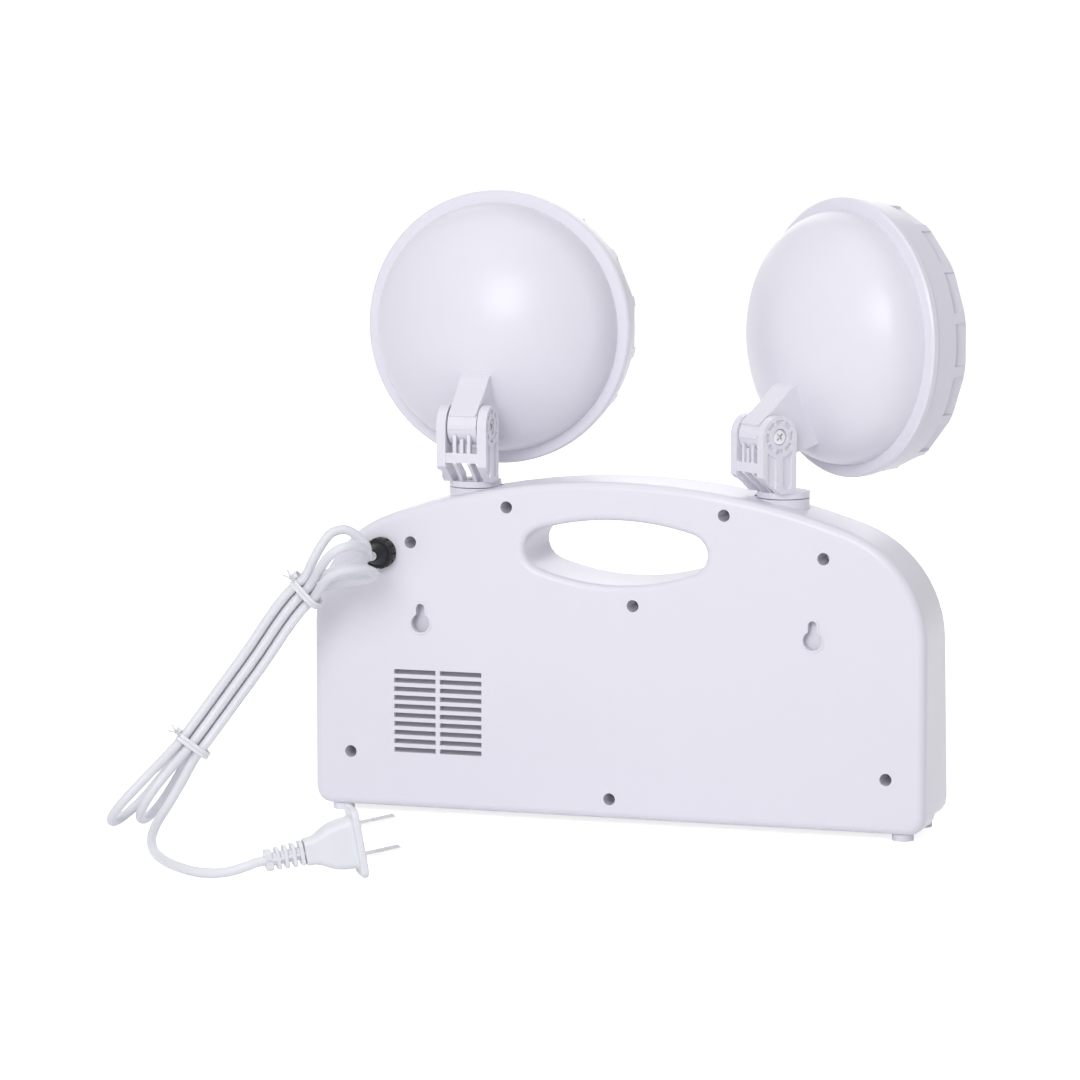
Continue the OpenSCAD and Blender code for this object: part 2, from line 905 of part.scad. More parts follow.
// Upper stretches of the ribs, which stand on the cross bar close behind the barrel
module saddle_ribs() {
    difference() {
        for (rib = [[-rib_x, saddle_drop], [0, middle_drop], [rib_x, saddle_drop]])
            block([rib[0] - rib_t / 2, cheek_rear_y - bar_t, bar_top_z - sink],
                [rib[0] + rib_t / 2, cheek_rear_y - sink, tilt_z - rib[1]]);
        bar_x(tilt_back, tilt_z, barrel_r + saddle_gap, -cheek_gap / 2, cheek_gap / 2);
    }
}

// Recesses on the outer face of a cheek, cut from X = 0 inward along +X
module cheek_face_cuts() {
    difference() {
        bar_x(tilt_back, tilt_z, ring_outer_r, -over, ring_depth);
        bar_x(tilt_back, tilt_z, ring_inner_r, -2 * over, ring_depth + over);
        for (k = [0:ring_parts - 1])
            translate([0, tilt_back, tilt_z])
                rotate([360 * (k + 0.5) / ring_parts, 0, 0])
                    block([-2 * over, 0, -spoke_w / 2],
                        [ring_depth + over, ring_outer_r + over, spoke_w / 2]);
    }
    for (side = [-1, 1])
        difference() {
            union() {
                block([-over, tilt_back + side * (flute_rib + flute_w) / 2 - flute_w / 2, flute_low_z],
                    [ring_depth, tilt_back + side * (flute_rib + flute_w) / 2 + flute_w / 2,
                        flute_top_z + flute_w]);
                bar_x(tilt_back + side * (flute_rib + flute_w) / 2, flute_low_z, flute_w / 2,
                    -over, ring_depth);
            }
            bar_x(tilt_back, tilt_z, boss_r, -2 * over, ring_depth + over);
            translate([0, cheek_rear_y, slant_z])
                rotate([45, 0, 0])
                    block([-2 * over, -boss_r, -boss_r], [ring_depth + over, boss_r, -spoke_w / 2]);
        }
}

module turret(side) {
    color(shell_colour)
        on_turning_axis(side)
            difference() {
                union() {
                    translate([0, 0, turret_z])
                        cylinder(r = flange_r, h = flange_t, $fn = 64);
                    translate([0, 0, foot_flange_z])
                        cylinder(r = spindle_r, h = turret_z - foot_flange_z + sink, $fn = 64);
                    translate([0, 0, foot_flange_z])
                        cylinder(r = foot_flange_r, h = foot_flange_t, $fn = 64);
                    intersection() {
                        union() {
                            along_x(-cheek_out, -cheek_gap / 2)
                                cheek_side();
                            along_x(cheek_gap / 2, cheek_out)
                                cheek_side();
                        }
                        union() {
                            translate([0, 0, turret_z])
                                cylinder(r = cheek_out, h = flange_t + 2 * over, $fn = 64);
                            block([-cheek_out, cheek_front_y - over, flange_top_z],
                                [cheek_out, cheek_rear_y + over, tilt_z + boss_r + over]);
                        }
                    }
                    for (x = [-rib_x, rib_x])
                        along_x(x - rib_t / 2, x + rib_t / 2)
                            rib_side();
                    block([-cheek_gap / 2 - sink, cheek_rear_y - bar_t, bar_top_z - bar_h],
                        [cheek_gap / 2 + sink, cheek_rear_y - sink, bar_top_z]);
                    saddle_ribs();
                }
                translate([0, 0, foot_flange_z - over])
                    cylinder(r = wire_r, h = flange_top_z - foot_flange_z + 2 * over, $fn = 40);
                bar_x(tilt_back, tilt_z, bolt_r + run_gap, -cheek_out - over, cheek_out + over);
                bar_x(tilt_back, tilt_z, head_recess_r, -cheek_out - over,
                    head_recess_depth - cheek_out);
                translate([cheek_out - nut_depth, tilt_back, tilt_z])
                    rotate([0, 90, 0])
                        cylinder(r = nut_r + gap / 2, h = nut_depth + over, $fn = 6);
                translate([-cheek_out, 0, 0])
                    cheek_face_cuts();
                translate([cheek_out, 0, 0])
                    mirror([1, 0, 0])
                        cheek_face_cuts();
            }
}

module pan_washer(side) {
    color([0.35, 0.30, 0.25])
        on_turning_axis(side)
            translate([0, 0, foot_flange_z + foot_flange_t])
                difference() {
                    cylinder(r = foot_flange_r, h = washer_t, $fn = 64);
                    translate([0, 0, -over])
                        cylinder(r = spindle_r + run_gap, h = washer_t + 2 * over, $fn = 64);
                }
}

// Tilt screw: its head sits in the cheek's recess at -X, its nut in the other at +X
screw_head_r = 3.1;
screw_head_h = 1.5;

module tilt_screw(side) {
    seat = head_recess_depth - cheek_out;
    color(steel)
        on_turning_axis(side)
            difference() {
                union() {
                    bar_x(tilt_back, tilt_z, bolt_r, seat - screw_head_h / 2, cheek_out);
                    bar_x(tilt_back, tilt_z, screw_head_r, seat - screw_head_h, seat);
                }
                translate([seat - screw_head_h, tilt_back, tilt_z])
                    for (turn = [45, 135])
                        rotate([turn, 0, 0])
                            block([-over, -screw_head_r * cross_share, -cross_w / 2],
                                [cross_depth, screw_head_r * cross_share, cross_w / 2]);
            }
}

module tilt_nut(side) {
    color(steel)
        on_turning_axis(side)
            difference() {
                translate([cheek_out - nut_depth, tilt_back, tilt_z])
                    rotate([0, 90, 0])
                        cylinder(r = nut_r, h = nut_depth, $fn = 6);
                bar_x(tilt_back, tilt_z, bolt_r + run_gap, 0, cheek_out + over);
            }
}

// Lamp shell: a dome, its flat rim, a skirt that the bezel screws on, and the arm
barrel_play = 1.2;
barrel_w = cheek_gap - barrel_play;
barrel_r = 8;
barrel_washer_t = 0.4;
barrel_washer_r = 6;
dome_shoulder_x = dome_base_r - dome_shoulder_r;
crown_r = (pow(dome_shoulder_x, 2) + pow(dome_depth, 2) - pow(dome_shoulder_r, 2))
    / (2 * (dome_depth - dome_shoulder_r));
crown_centre = crown_r - dome_depth;
meet_share = crown_r / (crown_r - dome_shoulder_r);
meet_depth = crown_centre * (meet_share - 1);
rim_r = dome_base_r + rim_w;
rim_t = 3;
rim_edge = 0.8;
skirt_inset = 4;
skirt_t = 2.8;
skirt_out_r = rim_r - skirt_inset;
skirt_in_r = skirt_out_r - skirt_t;
skirt_l = 9;
led_post_r = 2.4;
led_post_ring = 11;
led_posts = 3;
led_seat = -16.8;
arm_drop = 19;
arm_top_z = head_z - arm_drop;
arm_back_share = 0.92;
arm_side_share = 0.4;
arm_top_y = 1.5;
arm_inner = 12;

module tilt_washers(side) {
    edge = cheek_gap / 2 - barrel_w / 2;
    color(steel)
        on_turning_axis(side)
            for (x = [-cheek_gap / 2, cheek_gap / 2 - barrel_washer_t])
                difference() {
                    bar_x(tilt_back, tilt_z, barrel_washer_r, x, x + barrel_washer_t);
                    bar_x(tilt_back, tilt_z, bolt_r + run_gap, x - edge, x + barrel_washer_t + edge);
                }
}

// Puts a shape turned about Z on the head's axis, with its zero at the rim and +Z forward
module on_lamp_axis() {
    translate([0, -rim_forward, head_z])
        rotate([90, 0, 0])
            children();
}

// Half section of the dome: a crown arc that runs smoothly into a shoulder arc
module dome_section(inset) {
    meet = meet_depth * (dome_shoulder_r - inset) / dome_shoulder_r;
    intersection() {
        translate([0, crown_centre])
            circle(r = crown_r - inset, $fn = 160);
        translate([0, -dome_depth - over])
            square([rim_r, dome_depth + over - meet]);
    }
    intersection() {
        translate([dome_shoulder_x, 0])
            circle(r = dome_shoulder_r - inset, $fn = 96);
        translate([0, -dome_depth])
            square([rim_r, dome_depth + rim_t / 2]);
    }
    translate([0, -meet - sink])
        square([dome_shoulder_x, meet + sink + rim_t / 2]);
}

// Half section of the dome, rim and skirt, solid inside
module shell_section() {
    dome_section(0);
    polygon([
        [0, 0],
        [rim_r - rim_edge, 0],
        [rim_r, rim_edge],
        [rim_r, rim_t],
        [skirt_out_r, rim_t],
        [skirt_out_r, rim_t + skirt_l],
        [0, rim_t + skirt_l]
    ]);
}

module lamp_shell(side) {
    color(shell_colour)
        on_turning_axis(side)
            difference() {
                union() {
                    on_lamp_axis()
                        rotate_extrude($fn = 96)
                            shell_section();
                    bar_x(tilt_back, tilt_z, barrel_r, -barrel_w / 2, barrel_w / 2);
                    along_x(-barrel_w / 2, barrel_w / 2)
                        polygon([
                            [tilt_back, tilt_z - barrel_r],
                            [tilt_back + barrel_r * arm_back_share,
                                tilt_z + barrel_r * arm_side_share],
                            [arm_top_y, arm_top_z],
                            [arm_top_y - arm_inner, arm_top_z + arm_inner / 2],
                            [-rim_forward + arm_inner, tilt_z - barrel_r * arm_side_share],
                            [0, tilt_z - barrel_r]
                        ]);
                }
                difference() {
                    on_lamp_axis()
                        rotate_extrude($fn = 96)
                            shell_room();
                    on_lamp_axis()
                        for (k = [0:led_posts - 1])
                            rotate([0, 0, 90 + 360 * k / led_posts])
                                translate([led_post_ring, 0, -dome_depth])
                                    cylinder(r = led_post_r, h = dome_depth + led_seat, $fn = 32);
                }
                bar_x(tilt_back, tilt_z, bolt_r + run_gap, -barrel_w, barrel_w);
            }
}

// Half section of the room inside the dome and skirt
module shell_room() {
    dome_section(dome_wall);
    square([skirt_in_r, rim_t + skirt_l + over]);
}

// Bezel, lens, gasket and reflector stack up in front of the skirt
bezel_z = rim_t + gap;
bezel_end_z = bezel_z + bezel_l;
bezel_inset = 0.45;
bezel_taper = 1.75;
bezel_out_r = rim_r - bezel_inset;
bezel_front_r = bezel_out_r - bezel_taper;
bezel_edge = 1;
stack_inset = 2;
stack_r = skirt_out_r - stack_inset;
stack_z = rim_t + skirt_l;
reflector_t = 1.2;
gasket_t = 1.8;
lens_t = 2.8;
lens_z = stack_z + reflector_t + gasket_t;
lip_z = lens_z + lens_t;
lip_w = 3;
lip_r = stack_r - lip_w;
grip_from = 0.6;
grip_land = 4.4;

module lamp_bezel(side) {
    grip_w = 2 * PI * bezel_front_r / grips - grip_land;
    floor_r = bezel_front_r - grip_depth + sink;
    color(shell_colour)
        on_turning_axis(side)
            on_lamp_axis()
                difference() {
                    rotate_extrude($fn = 96)
                        polygon([
                            [skirt_out_r + gap, bezel_z],
                            [bezel_out_r, bezel_z],
                            [bezel_front_r, bezel_end_z - bezel_edge],
                            [bezel_front_r - bezel_edge, bezel_end_z],
                            [lip_r, bezel_end_z],
                            [lip_r, lip_z],
                            [stack_r + gap, lip_z],
                            [stack_r + gap, stack_z + gap],
                            [skirt_out_r + gap, stack_z + gap]
                        ]);
                    for (k = [0:grips - 1])
                        rotate([0, 0, 360 * k / grips])
                            block([floor_r, -grip_w / 2, bezel_z + bezel_l * grip_from],
                                [rim_r + over, grip_w / 2, bezel_end_z + over]);
                }
}

module lamp_lens(side) {
    color([0.85, 0.90, 0.95, 0.5])
        on_turning_axis(side)
            on_lamp_axis() {
                translate([0, 0, lens_z])
                    cylinder(r = stack_r, h = lens_t, $fn = 96);
                translate([0, 0, lip_z - sink])
                    cylinder(r = lip_r - gap, h = bezel_end_z - lip_z - sink, $fn = 96);
            }
}

module lamp_gasket(side) {
    color(black)
        on_turning_axis(side)
            on_lamp_axis()
                translate([0, 0, lens_z - gasket_t])
                    difference() {
                        cylinder(r = stack_r, h = gasket_t, $fn = 96);
                        translate([0, 0, -over])
                            cylinder(r = skirt_in_r, h = gasket_t + 2 * over, $fn = 96);
                    }
}

reflector_throat_r = 13;
led_board_t = 1.6;
reflector_back_z = led_seat + led_board_t + gap;
reflector_inset = 1.5;
reflector_mouth_r = skirt_in_r - reflector_inset;
reflector_steps = 7;

// Radius of the reflector bowl at a share of its depth
function bowl_r(share) =
    reflector_throat_r + (reflector_mouth_r - reflector_throat_r) * sqrt(share);

module reflector(side) {
    depth = stack_z + reflector_t - reflector_back_z;
    color([0.88, 0.89, 0.92])
        on_turning_axis(side)
            on_lamp_axis()
                rotate_extrude($fn = 64)
                    polygon(concat(
                        [for (k = [0:reflector_steps])
                            [bowl_r(k / reflector_steps), reflector_back_z + depth * k / reflector_steps]],
                        [
                            [stack_r, stack_z + reflector_t],
                            [stack_r, stack_z],
                            [skirt_in_r - gap, stack_z]
                        ],
                        [for (k = [reflector_steps - 1:-1:0])
                            [bowl_r(k / reflector_steps) + reflector_t,
                                reflector_back_z + depth * k / reflector_steps]]
                    ));
}

led_board_r = 15;
led_w = 3.4;
led_h = 0.9;
led_ring = 7.5;
led_count = 6;

module led_board(side) {
    color([0.90, 0.90, 0.88])
        on_turning_axis(side)
            on_lamp_axis()
                translate([0, 0, led_seat])
                    cylinder(r = led_board_r, h = led_board_t, $fn = 64);
}

module led_chips(side) {
    color([0.95, 0.80, 0.25])
        on_turning_axis(side)
            on_lamp_axis()
                translate([0, 0, led_seat + led_board_t]) {
                    block([-led_w / 2, -led_w / 2, 0], [led_w / 2, led_w / 2, led_h]);
                    for (k = [0:led_count - 1])
                        rotate([0, 0, 360 * k / led_count])
                            translate([led_ring, 0, 0])
                                block([-led_w / 2, -led_w / 2, 0], [led_w / 2, led_w / 2, led_h]);
                }
}

// Sweep of a round tube. Directions are unit vectors and frames are carried along the route.
function unit(v) = v / norm(v);

// Direction at each point of a route, with given directions at its two ends
function route_turns(points, first, last) =
    [for (i = [0:len(points) - 1])
        i == 0 ? first
        : i == len(points) - 1 ? last
        : unit(unit(points[i + 1] - points[i]) + unit(points[i] - points[i - 1]))];

// A side direction at each point, turned as little as possible from one to the next
function route_sides(turns) =
    [for (
        i = 0, side = unit(cross(turns[0], [0.1, 0.2, 1]));
        i < len(turns);
        i = i + 1, side = i < len(turns) ? unit(side - (side * turns[i]) * turns[i]) : side
    ) side];

// One unbroken tube along a route, its sides in triangles
module tube(points, diameter, sides, first, last) {
    turns = route_turns(points, first, last);
    across = route_sides(turns);
    m = len(points);
    polyhedron(
        points = [for (i = [0:m - 1], k = [0:sides - 1])
            points[i] + diameter / 2 * (cos(360 * k / sides) * across[i]
                + sin(360 * k / sides) * cross(turns[i], across[i]))],
        faces = concat(
            [[for (k = [sides - 1:-1:0]) k]],
            [for (i = [0:m - 2], k = [0:sides - 1], upper = [0, 1])
                let (
                    next = (k + 1) % sides,
                    a = i * sides + k,
                    b = i * sides + next,
                    c = (i + 1) * sides + next,
                    d = (i + 1) * sides + k
                )
                upper ? [a, c, d] : [a, b, c]],
            [[for (k = [0:sides - 1]) (m - 1) * sides + k]]
        )
    );
}

// A tube whose end faces are square to its first and last stretch
module wire(points, diameter, sides) {
    n = len(points);
    tube(points, diameter, sides, unit(points[1] - points[0]), unit(points[n - 1] - points[n - 2]));
}

// Wires inside the housing, led by hand from the battery and the gland to the terminal block
wire_d = 1.6;
wire_sides = 8;
red_route = [
    [-69.5, 2.8, 90.5], [-69.5, 2.8, 93], [-66, 4, 95.5], [-60, 7, 94], [-52, 10, 89],
    [-40, 12, 87], [-25, 12, 86.5], [-8, 12, 86], [14, 12, 86.5], [21, 12, 81],
    [27, 12, 71], [32, 13, 62], [38, 13.5, 55], [45, 13, 53.4], [49, 11, 53.4], [50, 8, 53.4],
    [50, 4, 53.4]
];
black_route = [
    [-43.5, 2.8, 90.5], [-43.5, 2.8, 93], [-40, 4, 94.5], [-35, 6, 92], [-28, 8, 87.5],
    [-18, 8, 86], [-4, 8, 86], [13.5, 8, 86], [19.5, 8, 79], [23.5, 8, 69], [29, 9, 58],
    [35, 11, 49], [43, 12.5, 47.1], [48.5, 11, 47.1], [50, 8, 47.1], [50, 4, 47.1]
];
live_route = [
    [103, 15, 111.5], [103, 12, 111.5], [102.5, 9.5, 108], [100, 9, 101], [92, 10, 91],
    [80, 14, 83], [69, 18.5, 78], [62, 19.5, 66], [59.5, 18, 52], [56.5, 14.5, 41],
    [52, 11.5, 34.6], [50, 8, 34.6], [50, 4, 34.6]
];
neutral_route = [
    [100.5, 15, 111.5], [100.5, 12, 111.5], [100, 9.5, 107], [97, 8, 99], [89, 7.5, 89],
    [77, 11, 80.5], [67, 15.5, 76.5], [59.5, 17.5, 63], [56, 16, 51], [53, 13, 43.5],
    [51, 10.5, 40.9], [50, 8, 40.9], [50, 4, 40.9]
];

module battery_leads() {
    color([0.75, 0.10, 0.10])
        wire(red_route, wire_d, wire_sides);
    color(black)
        wire(black_route, wire_d, wire_sides);
}

module inner_mains_lead() {
    color([0.45, 0.25, 0.12])
        wire(live_route, wire_d, wire_sides);
    color([0.15, 0.35, 0.75])
        wire(neutral_route, wire_d, wire_sides);
}

// Mains cord. The hank leans from the gland down to the floor, held by two ties. Its
// middle line is a list of points, counted from 0 at the top to 4 at the foot.
hank_line = [[93, 58, 113], [125, 54, 98.5], [147, 63, 67], [167, 78, 35.5], [194, 89, -1.5]];
hank_facing = [-0.30, 0.95, 0];
hank_ties = [1, 3];
hank_sides = 6;
cord_sides = 10;
run_steps = 4;
fold_steps = 12;

// Where the five runs lie across the bundle, as shares of the cord's diameter
run_shares = [[1.15, 0.5], [0.575, -0.5], [0, 0.5], [-0.575, -0.5], [-1.15, 0.5]];

// Each fold's far end along the middle line, its place across the bundle and its lean
fold_shares = [
    [3.98, [1.5, 0], 15],
    [0.04, [2.1, 1.25], 25],
    [3.82, [-0.875, -1.25], 15],
    [0.14, [-0.75, 0], 25]
];
fold_width_share = 4.5;

// Position and direction of the hank's middle line
function hank_span(w) =
    let (
        n = len(hank_line),
        i = min(floor(w), n - 2),
        b = hank_line[i],
        c = hank_line[i + 1],
        a = i > 0 ? hank_line[i - 1] : 2 * b - c,
        d = i < n - 2 ? hank_line[i + 2] : 2 * c - b,
        t = w - i,
        square_term = 2 * a - 5 * b + 4 * c - d,
        cube_term = 3 * b - a - 3 * c + d
    )
    [
        (2 * b + (c - a) * t + square_term * t * t + cube_term * t * t * t) / 2,
        unit(c - a + 2 * square_term * t + 3 * cube_term * t * t)
    ];

// A place across the bundle, given in diameters, at a place along the middle line
function hank_place(w, across) =
    let (
        span = hank_span(w),
        out = unit(hank_facing - (hank_facing * span[1]) * span[1]),
        aside = cross(span[1], out)
    )
    span[0] + cord_d * (across[0] * aside + across[1] * out);

// One fold: it leaves a tie along one run, opens into a loop and comes back along the next
function hank_fold(k) =
    let (
        tie = hank_ties[(k + 1) % 2],
        from = run_shares[k],
        to = run_shares[k + 1],
        fold = fold_shares[k],
        side = from[1] > to[1] ? 1 : -1
    )
    [for (j = [0:fold_steps])
        let (
            t = 360 * j / fold_steps,
            reach = (1 - cos(t)) / 2,
            blend = (1 - cos(t / 2)) / 2,
            bulge = pow(sin(t / 2), 4),
            open = side * fold_width_share * sin(t) * pow(sin(t / 2), 2),
            run = from * (1 - blend) + to * blend
        )
        hank_place(tie + (fold[0] - tie) * reach,
            run * (1 - bulge) + fold[1] * bulge + open * [sin(fold[2]), cos(fold[2])])];

// The inner points of a run between the two ties
function hank_run(k) =
    let (
        from = hank_ties[k % 2],
        to = hank_ties[(k + 1) % 2]
    )
    [for (j = [1:run_steps - 1])
        hank_place(from + (to - from) * j / run_steps, run_shares[k])];

hank_start = hank_place(hank_ties[0], run_shares[0]);
hank_end = hank_place(hank_ties[1], run_shares[4]);
hank_start_turn = hank_span(hank_ties[0])[1];
hank_end_turn = hank_span(hank_ties[1])[1];
hank_points = concat(
    [hank_start, hank_start + cord_d * hank_start_turn],
    [for (k = [0:3]) each concat(hank_run(k), hank_fold(k))],
    hank_run(4),
    [hank_end - cord_d * hank_end_turn, hank_end]
);

// Least gap between stretches of the hank that do not follow each other, on finer points
gap_steps = 4;
gap_skip = 12;
hank_fine = [for (i = [0:len(hank_points) - 2], j = [0:gap_steps - 1])
    hank_points[i] + (hank_points[i + 1] - hank_points[i]) * j / gap_steps];
function least_gap() =
    min([for (i = [0:len(hank_fine) - 1 - gap_skip], j = [i + gap_skip:len(hank_fine) - 1])
        norm(hank_fine[i] - hank_fine[j])]) - cord_d;

// Length of a route
function route_length(points) =
    [for (i = 0, sum = 0; i < len(points); i = i + 1,
        sum = sum + (i < len(points) ? norm(points[i] - points[i - 1]) : 0)) sum][len(points) - 1];

module cord_hank() {
    echo(hank_least_gap = least_gap(), hank_length = route_length(hank_points));
    color(cord_colour)
        tube(hank_points, cord_d, hank_sides, hank_start_turn, hank_end_turn);
}

// The stretch from the gland over the top of the hank
lead_line = [
    [102, 33, 111.5], [102, 38, 111.5], [101.5, 42.5, 112.8], [101, 47, 117.5],
    [103.5, 50, 121.5], [108, 52.5, 124.3], [113.2, 54.8, 123], [117, 56.5, 118],
    [120, 57.5, 112.5]
];
lead_points = concat(lead_line, [hank_start - cord_d * hank_start_turn, hank_start]);

module cord_lead() {
    echo(lead_length = route_length(lead_points));
    color(cord_colour)
        tube(lead_points, cord_d, cord_sides, [0, 1, 0], hank_start_turn);
}

// Plug: it lies on the floor on the edge of its flange, its blades looking along its own +X
plug_place = [65.4, 155, 14.5];
plug_yaw = 210;
plug_rise = 10;
plug_flange_t = 3;
plug_flange_w = 18;
plug_flange_h = 28;
plug_corner_r = 3;
plug_body_l = 16;
plug_body_w = 13;
plug_body_h = 20;
plug_neck_w = 8;
plug_neck_h = 10;
plug_neck_l = 4;
relief_l = 16;
relief_ribs = 4;
relief_rib_t = 2.2;
relief_r = 4.2;
relief_core_r = 2.9;
relief_web_w = 2.4;
blade_l = 15;
blade_w = 6.3;
blade_t = 1.5;
plug_back = plug_flange_t + plug_body_l + plug_neck_l + relief_l;
plug_turn = [cos(plug_yaw) * cos(plug_rise), sin(plug_yaw) * cos(plug_rise), sin(plug_rise)];
plug_end = plug_place - plug_back * plug_turn;

module on_plug() {
    translate(plug_place)
        rotate([0, -plug_rise, plug_yaw])
            children();
}

// A slab across the plug's axis with round corners
module plug_slab(x, t, w, h, r) {
    translate([x, 0, 0])
        rotate([90, 0, 90])
            linear_extrude(t)
                offset(r = r, $fn = 24)
                    square([w - 2 * r, h - 2 * r], center = true);
}

module plug_body() {
    color(cord_colour)
        on_plug() {
            plug_slab(-plug_flange_t, plug_flange_t, plug_flange_w, plug_flange_h, plug_corner_r);
            hull() {
                plug_slab(-plug_flange_t - sink, sink, plug_body_w, plug_body_h, plug_corner_r);
                plug_slab(-plug_flange_t - plug_body_l, sink, plug_neck_w, plug_neck_h,
                    plug_corner_r);
            }
            plug_slab(-plug_flange_t - plug_body_l - plug_neck_l, plug_neck_l + sink, plug_neck_w,
                plug_neck_h, plug_corner_r);
            translate([-plug_back, 0, 0])
                rotate([0, 90, 0])
                    cylinder(r = relief_core_r, h = relief_l + sink, $fn = 32);
            for (k = [0:relief_ribs - 1])
                translate([-plug_back + k * relief_l / relief_ribs, 0, 0])
                    rotate([0, 90, 0])
                        cylinder(r = relief_r, h = relief_rib_t, $fn = 32);
            block([-plug_back, -relief_r, -relief_web_w / 2],
                [sink - plug_back + relief_l, relief_r, relief_web_w / 2]);
        }
}

module plug_blades() {
    color(steel)
        on_plug()
            for (side = [-1, 1])
                translate([0, 0, side * blade_gap / 2])
                    block([0, -blade_w / 2, -blade_t / 2], [blade_l, blade_w / 2, blade_t / 2]);
}

// The stretch from the hank over the floor to the plug
tail_line = [
    [166, 84, 26], [167.5, 89.5, 20.5], [170, 97, 13], [171.5, 106, 7],
    [169.5, 117, 3.4], [163.5, 132, 2.1], [155, 148, 2.1], [144.5, 162, 2.1],
    [134.5, 171.5, 2.1], [124, 177.5, 2.1], [113.5, 179.5, 3.2], [105.5, 178, 5.6]
];
tail_points = concat(
    [hank_end, hank_end + cord_d * hank_end_turn],
    tail_line,
    [plug_end - cord_d * plug_turn, plug_end]
);

module cord_tail() {
    echo(tail_length = route_length(tail_points));
    color(cord_colour)
        tube(tail_points, cord_d, cord_sides, hank_end_turn, plug_turn);
}

// Ties: a band round the bundle with its two ends twisted together
tie_w = 2.2;
tie_t = 0.8;
tie_middle = 3.6;
tie_in_r = 4.6;
tie_twist_r = 1;
tie_twist_l = 3.5;
tie_end_r = 0.5;
tie_end_l = 6;

module tie_outline(r) {
    hull()
        for (side = [-1, 1])
            translate([side * tie_middle, 0])
                circle(r = r, $fn = 32);
}

module tie() {
    translate([0, 0, -tie_w / 2])
        linear_extrude(tie_w)
            difference() {
                tie_outline(tie_in_r + tie_t);
                tie_outline(tie_in_r);
            }
    translate([-tie_middle, tie_in_r + tie_t / 2, 0])
        rotate([0, -90, -40]) {
            cylinder(r = tie_twist_r, h = tie_twist_l, $fn = 16);
            for (side = [-1, 1])
                translate([0, 0, tie_twist_l - tie_twist_r])
                    rotate([0, side * 30, 0])
                        cylinder(r = tie_end_r, h = tie_end_l, $fn = 12);
        }
}

module cord_ties() {
    color([0.88, 0.88, 0.90])
        for (w = hank_ties) {
            span = hank_span(w);
            out = unit(hank_facing - (hank_facing * span[1]) * span[1]);
            aside = cross(out, span[1]);
            multmatrix([
                [aside[0], out[0], span[1][0], span[0][0]],
                [aside[1], out[1], span[1][1], span[0][1]],
                [aside[2], out[2], span[1][2], span[0][2]],
                [0, 0, 0, 1]
            ])
                tie();
        }
}

rear_shell();
front_shell();
shell_screws();
rubber_feet();
cord_gland();
gland_nut();
battery_case();
battery_terminals();
battery_pads();
battery_leads();
control_board();
board_screws();
transformer_core();
transformer_coil();
capacitors();
relay();
terminal_block();
inner_mains_lead();
switch_board();
switch_board_screws();
test_switch();
test_button();
indicator_lamps();
turret(1);  // right_turret
pan_washer(1);  // right_pan_washer
tilt_screw(1);  // right_tilt_screw
tilt_nut(1);  // right_tilt_nut
tilt_washers(1);  // right_tilt_washers
lamp_shell(1);  // right_lamp_shell
lamp_bezel(1);  // right_lamp_bezel
lamp_lens(1);  // right_lamp_lens
lamp_gasket(1);  // right_lamp_gasket
reflector(1);  // right_reflector
led_board(1);  // right_led_board
led_chips(1);  // right_led_chips
turret(-1);  // left_turret
pan_washer(-1);  // left_pan_washer
tilt_screw(-1);  // left_tilt_screw
tilt_nut(-1);  // left_tilt_nut
tilt_washers(-1);  // left_tilt_washers
lamp_shell(-1);  // left_lamp_shell
lamp_bezel(-1);  // left_lamp_bezel
lamp_lens(-1);  // left_lamp_lens
lamp_gasket(-1);  // left_lamp_gasket
reflector(-1);  // left_reflector
led_board(-1);  // left_led_board
led_chips(-1);  // left_led_chips
cord_lead();
cord_hank();
cord_tail();
cord_ties();
plug_body();
plug_blades();
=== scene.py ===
# %% [markdown]
# # A twin head emergency light, dressed in Blender
#
# The housing, brackets and lamp heads come from a CAD model that is already true to size.
# Blender adds what CAD can't hold: soft edges, a cord that is one smooth curve, and finishes
# that catch the light. Everything is in metres, and one unit is one metre. A small helper
# turns millimetres into metres, because sizes of this object read more easily that way.

import math

import bmesh
import bpy
from mathutils import Matrix, Vector


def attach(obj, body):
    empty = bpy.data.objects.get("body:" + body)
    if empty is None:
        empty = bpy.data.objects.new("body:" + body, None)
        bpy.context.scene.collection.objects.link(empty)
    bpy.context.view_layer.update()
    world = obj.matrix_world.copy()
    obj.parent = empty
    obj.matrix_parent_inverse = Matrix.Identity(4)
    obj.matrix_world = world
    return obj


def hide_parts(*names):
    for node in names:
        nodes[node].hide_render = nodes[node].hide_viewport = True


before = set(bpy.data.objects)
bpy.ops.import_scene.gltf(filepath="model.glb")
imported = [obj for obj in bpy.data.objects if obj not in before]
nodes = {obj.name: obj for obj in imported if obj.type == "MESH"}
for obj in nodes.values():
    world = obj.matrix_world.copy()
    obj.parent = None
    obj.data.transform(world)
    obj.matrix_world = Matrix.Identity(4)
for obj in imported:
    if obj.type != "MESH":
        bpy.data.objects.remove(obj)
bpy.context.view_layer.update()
print("CAD nodes:", len(nodes))


def mm(*values):
    """A point given in millimetres, as metres."""
    return Vector([v / 1000 for v in values])


# %% [markdown]
# ## Camera
#
# The unit is seen from behind, a little from above and from the side of its left head,
# through a long lens: its lines hardly converge. A long lens far away could be swapped for a
# short one close by, but then the near edge of the housing would swell. The place and the
# lens below put the screws and feet where the photograph has them.

# %% Camera
eye = mm(-588.4, 1992.4, 386.0)
look_at = mm(32.2, 24.0, 119.4)


def in_scene(name, data):
    """A new object that shows the data, linked to the scene."""
    made = bpy.data.objects.new(name, data)
    bpy.context.scene.collection.objects.link(made)
    return made


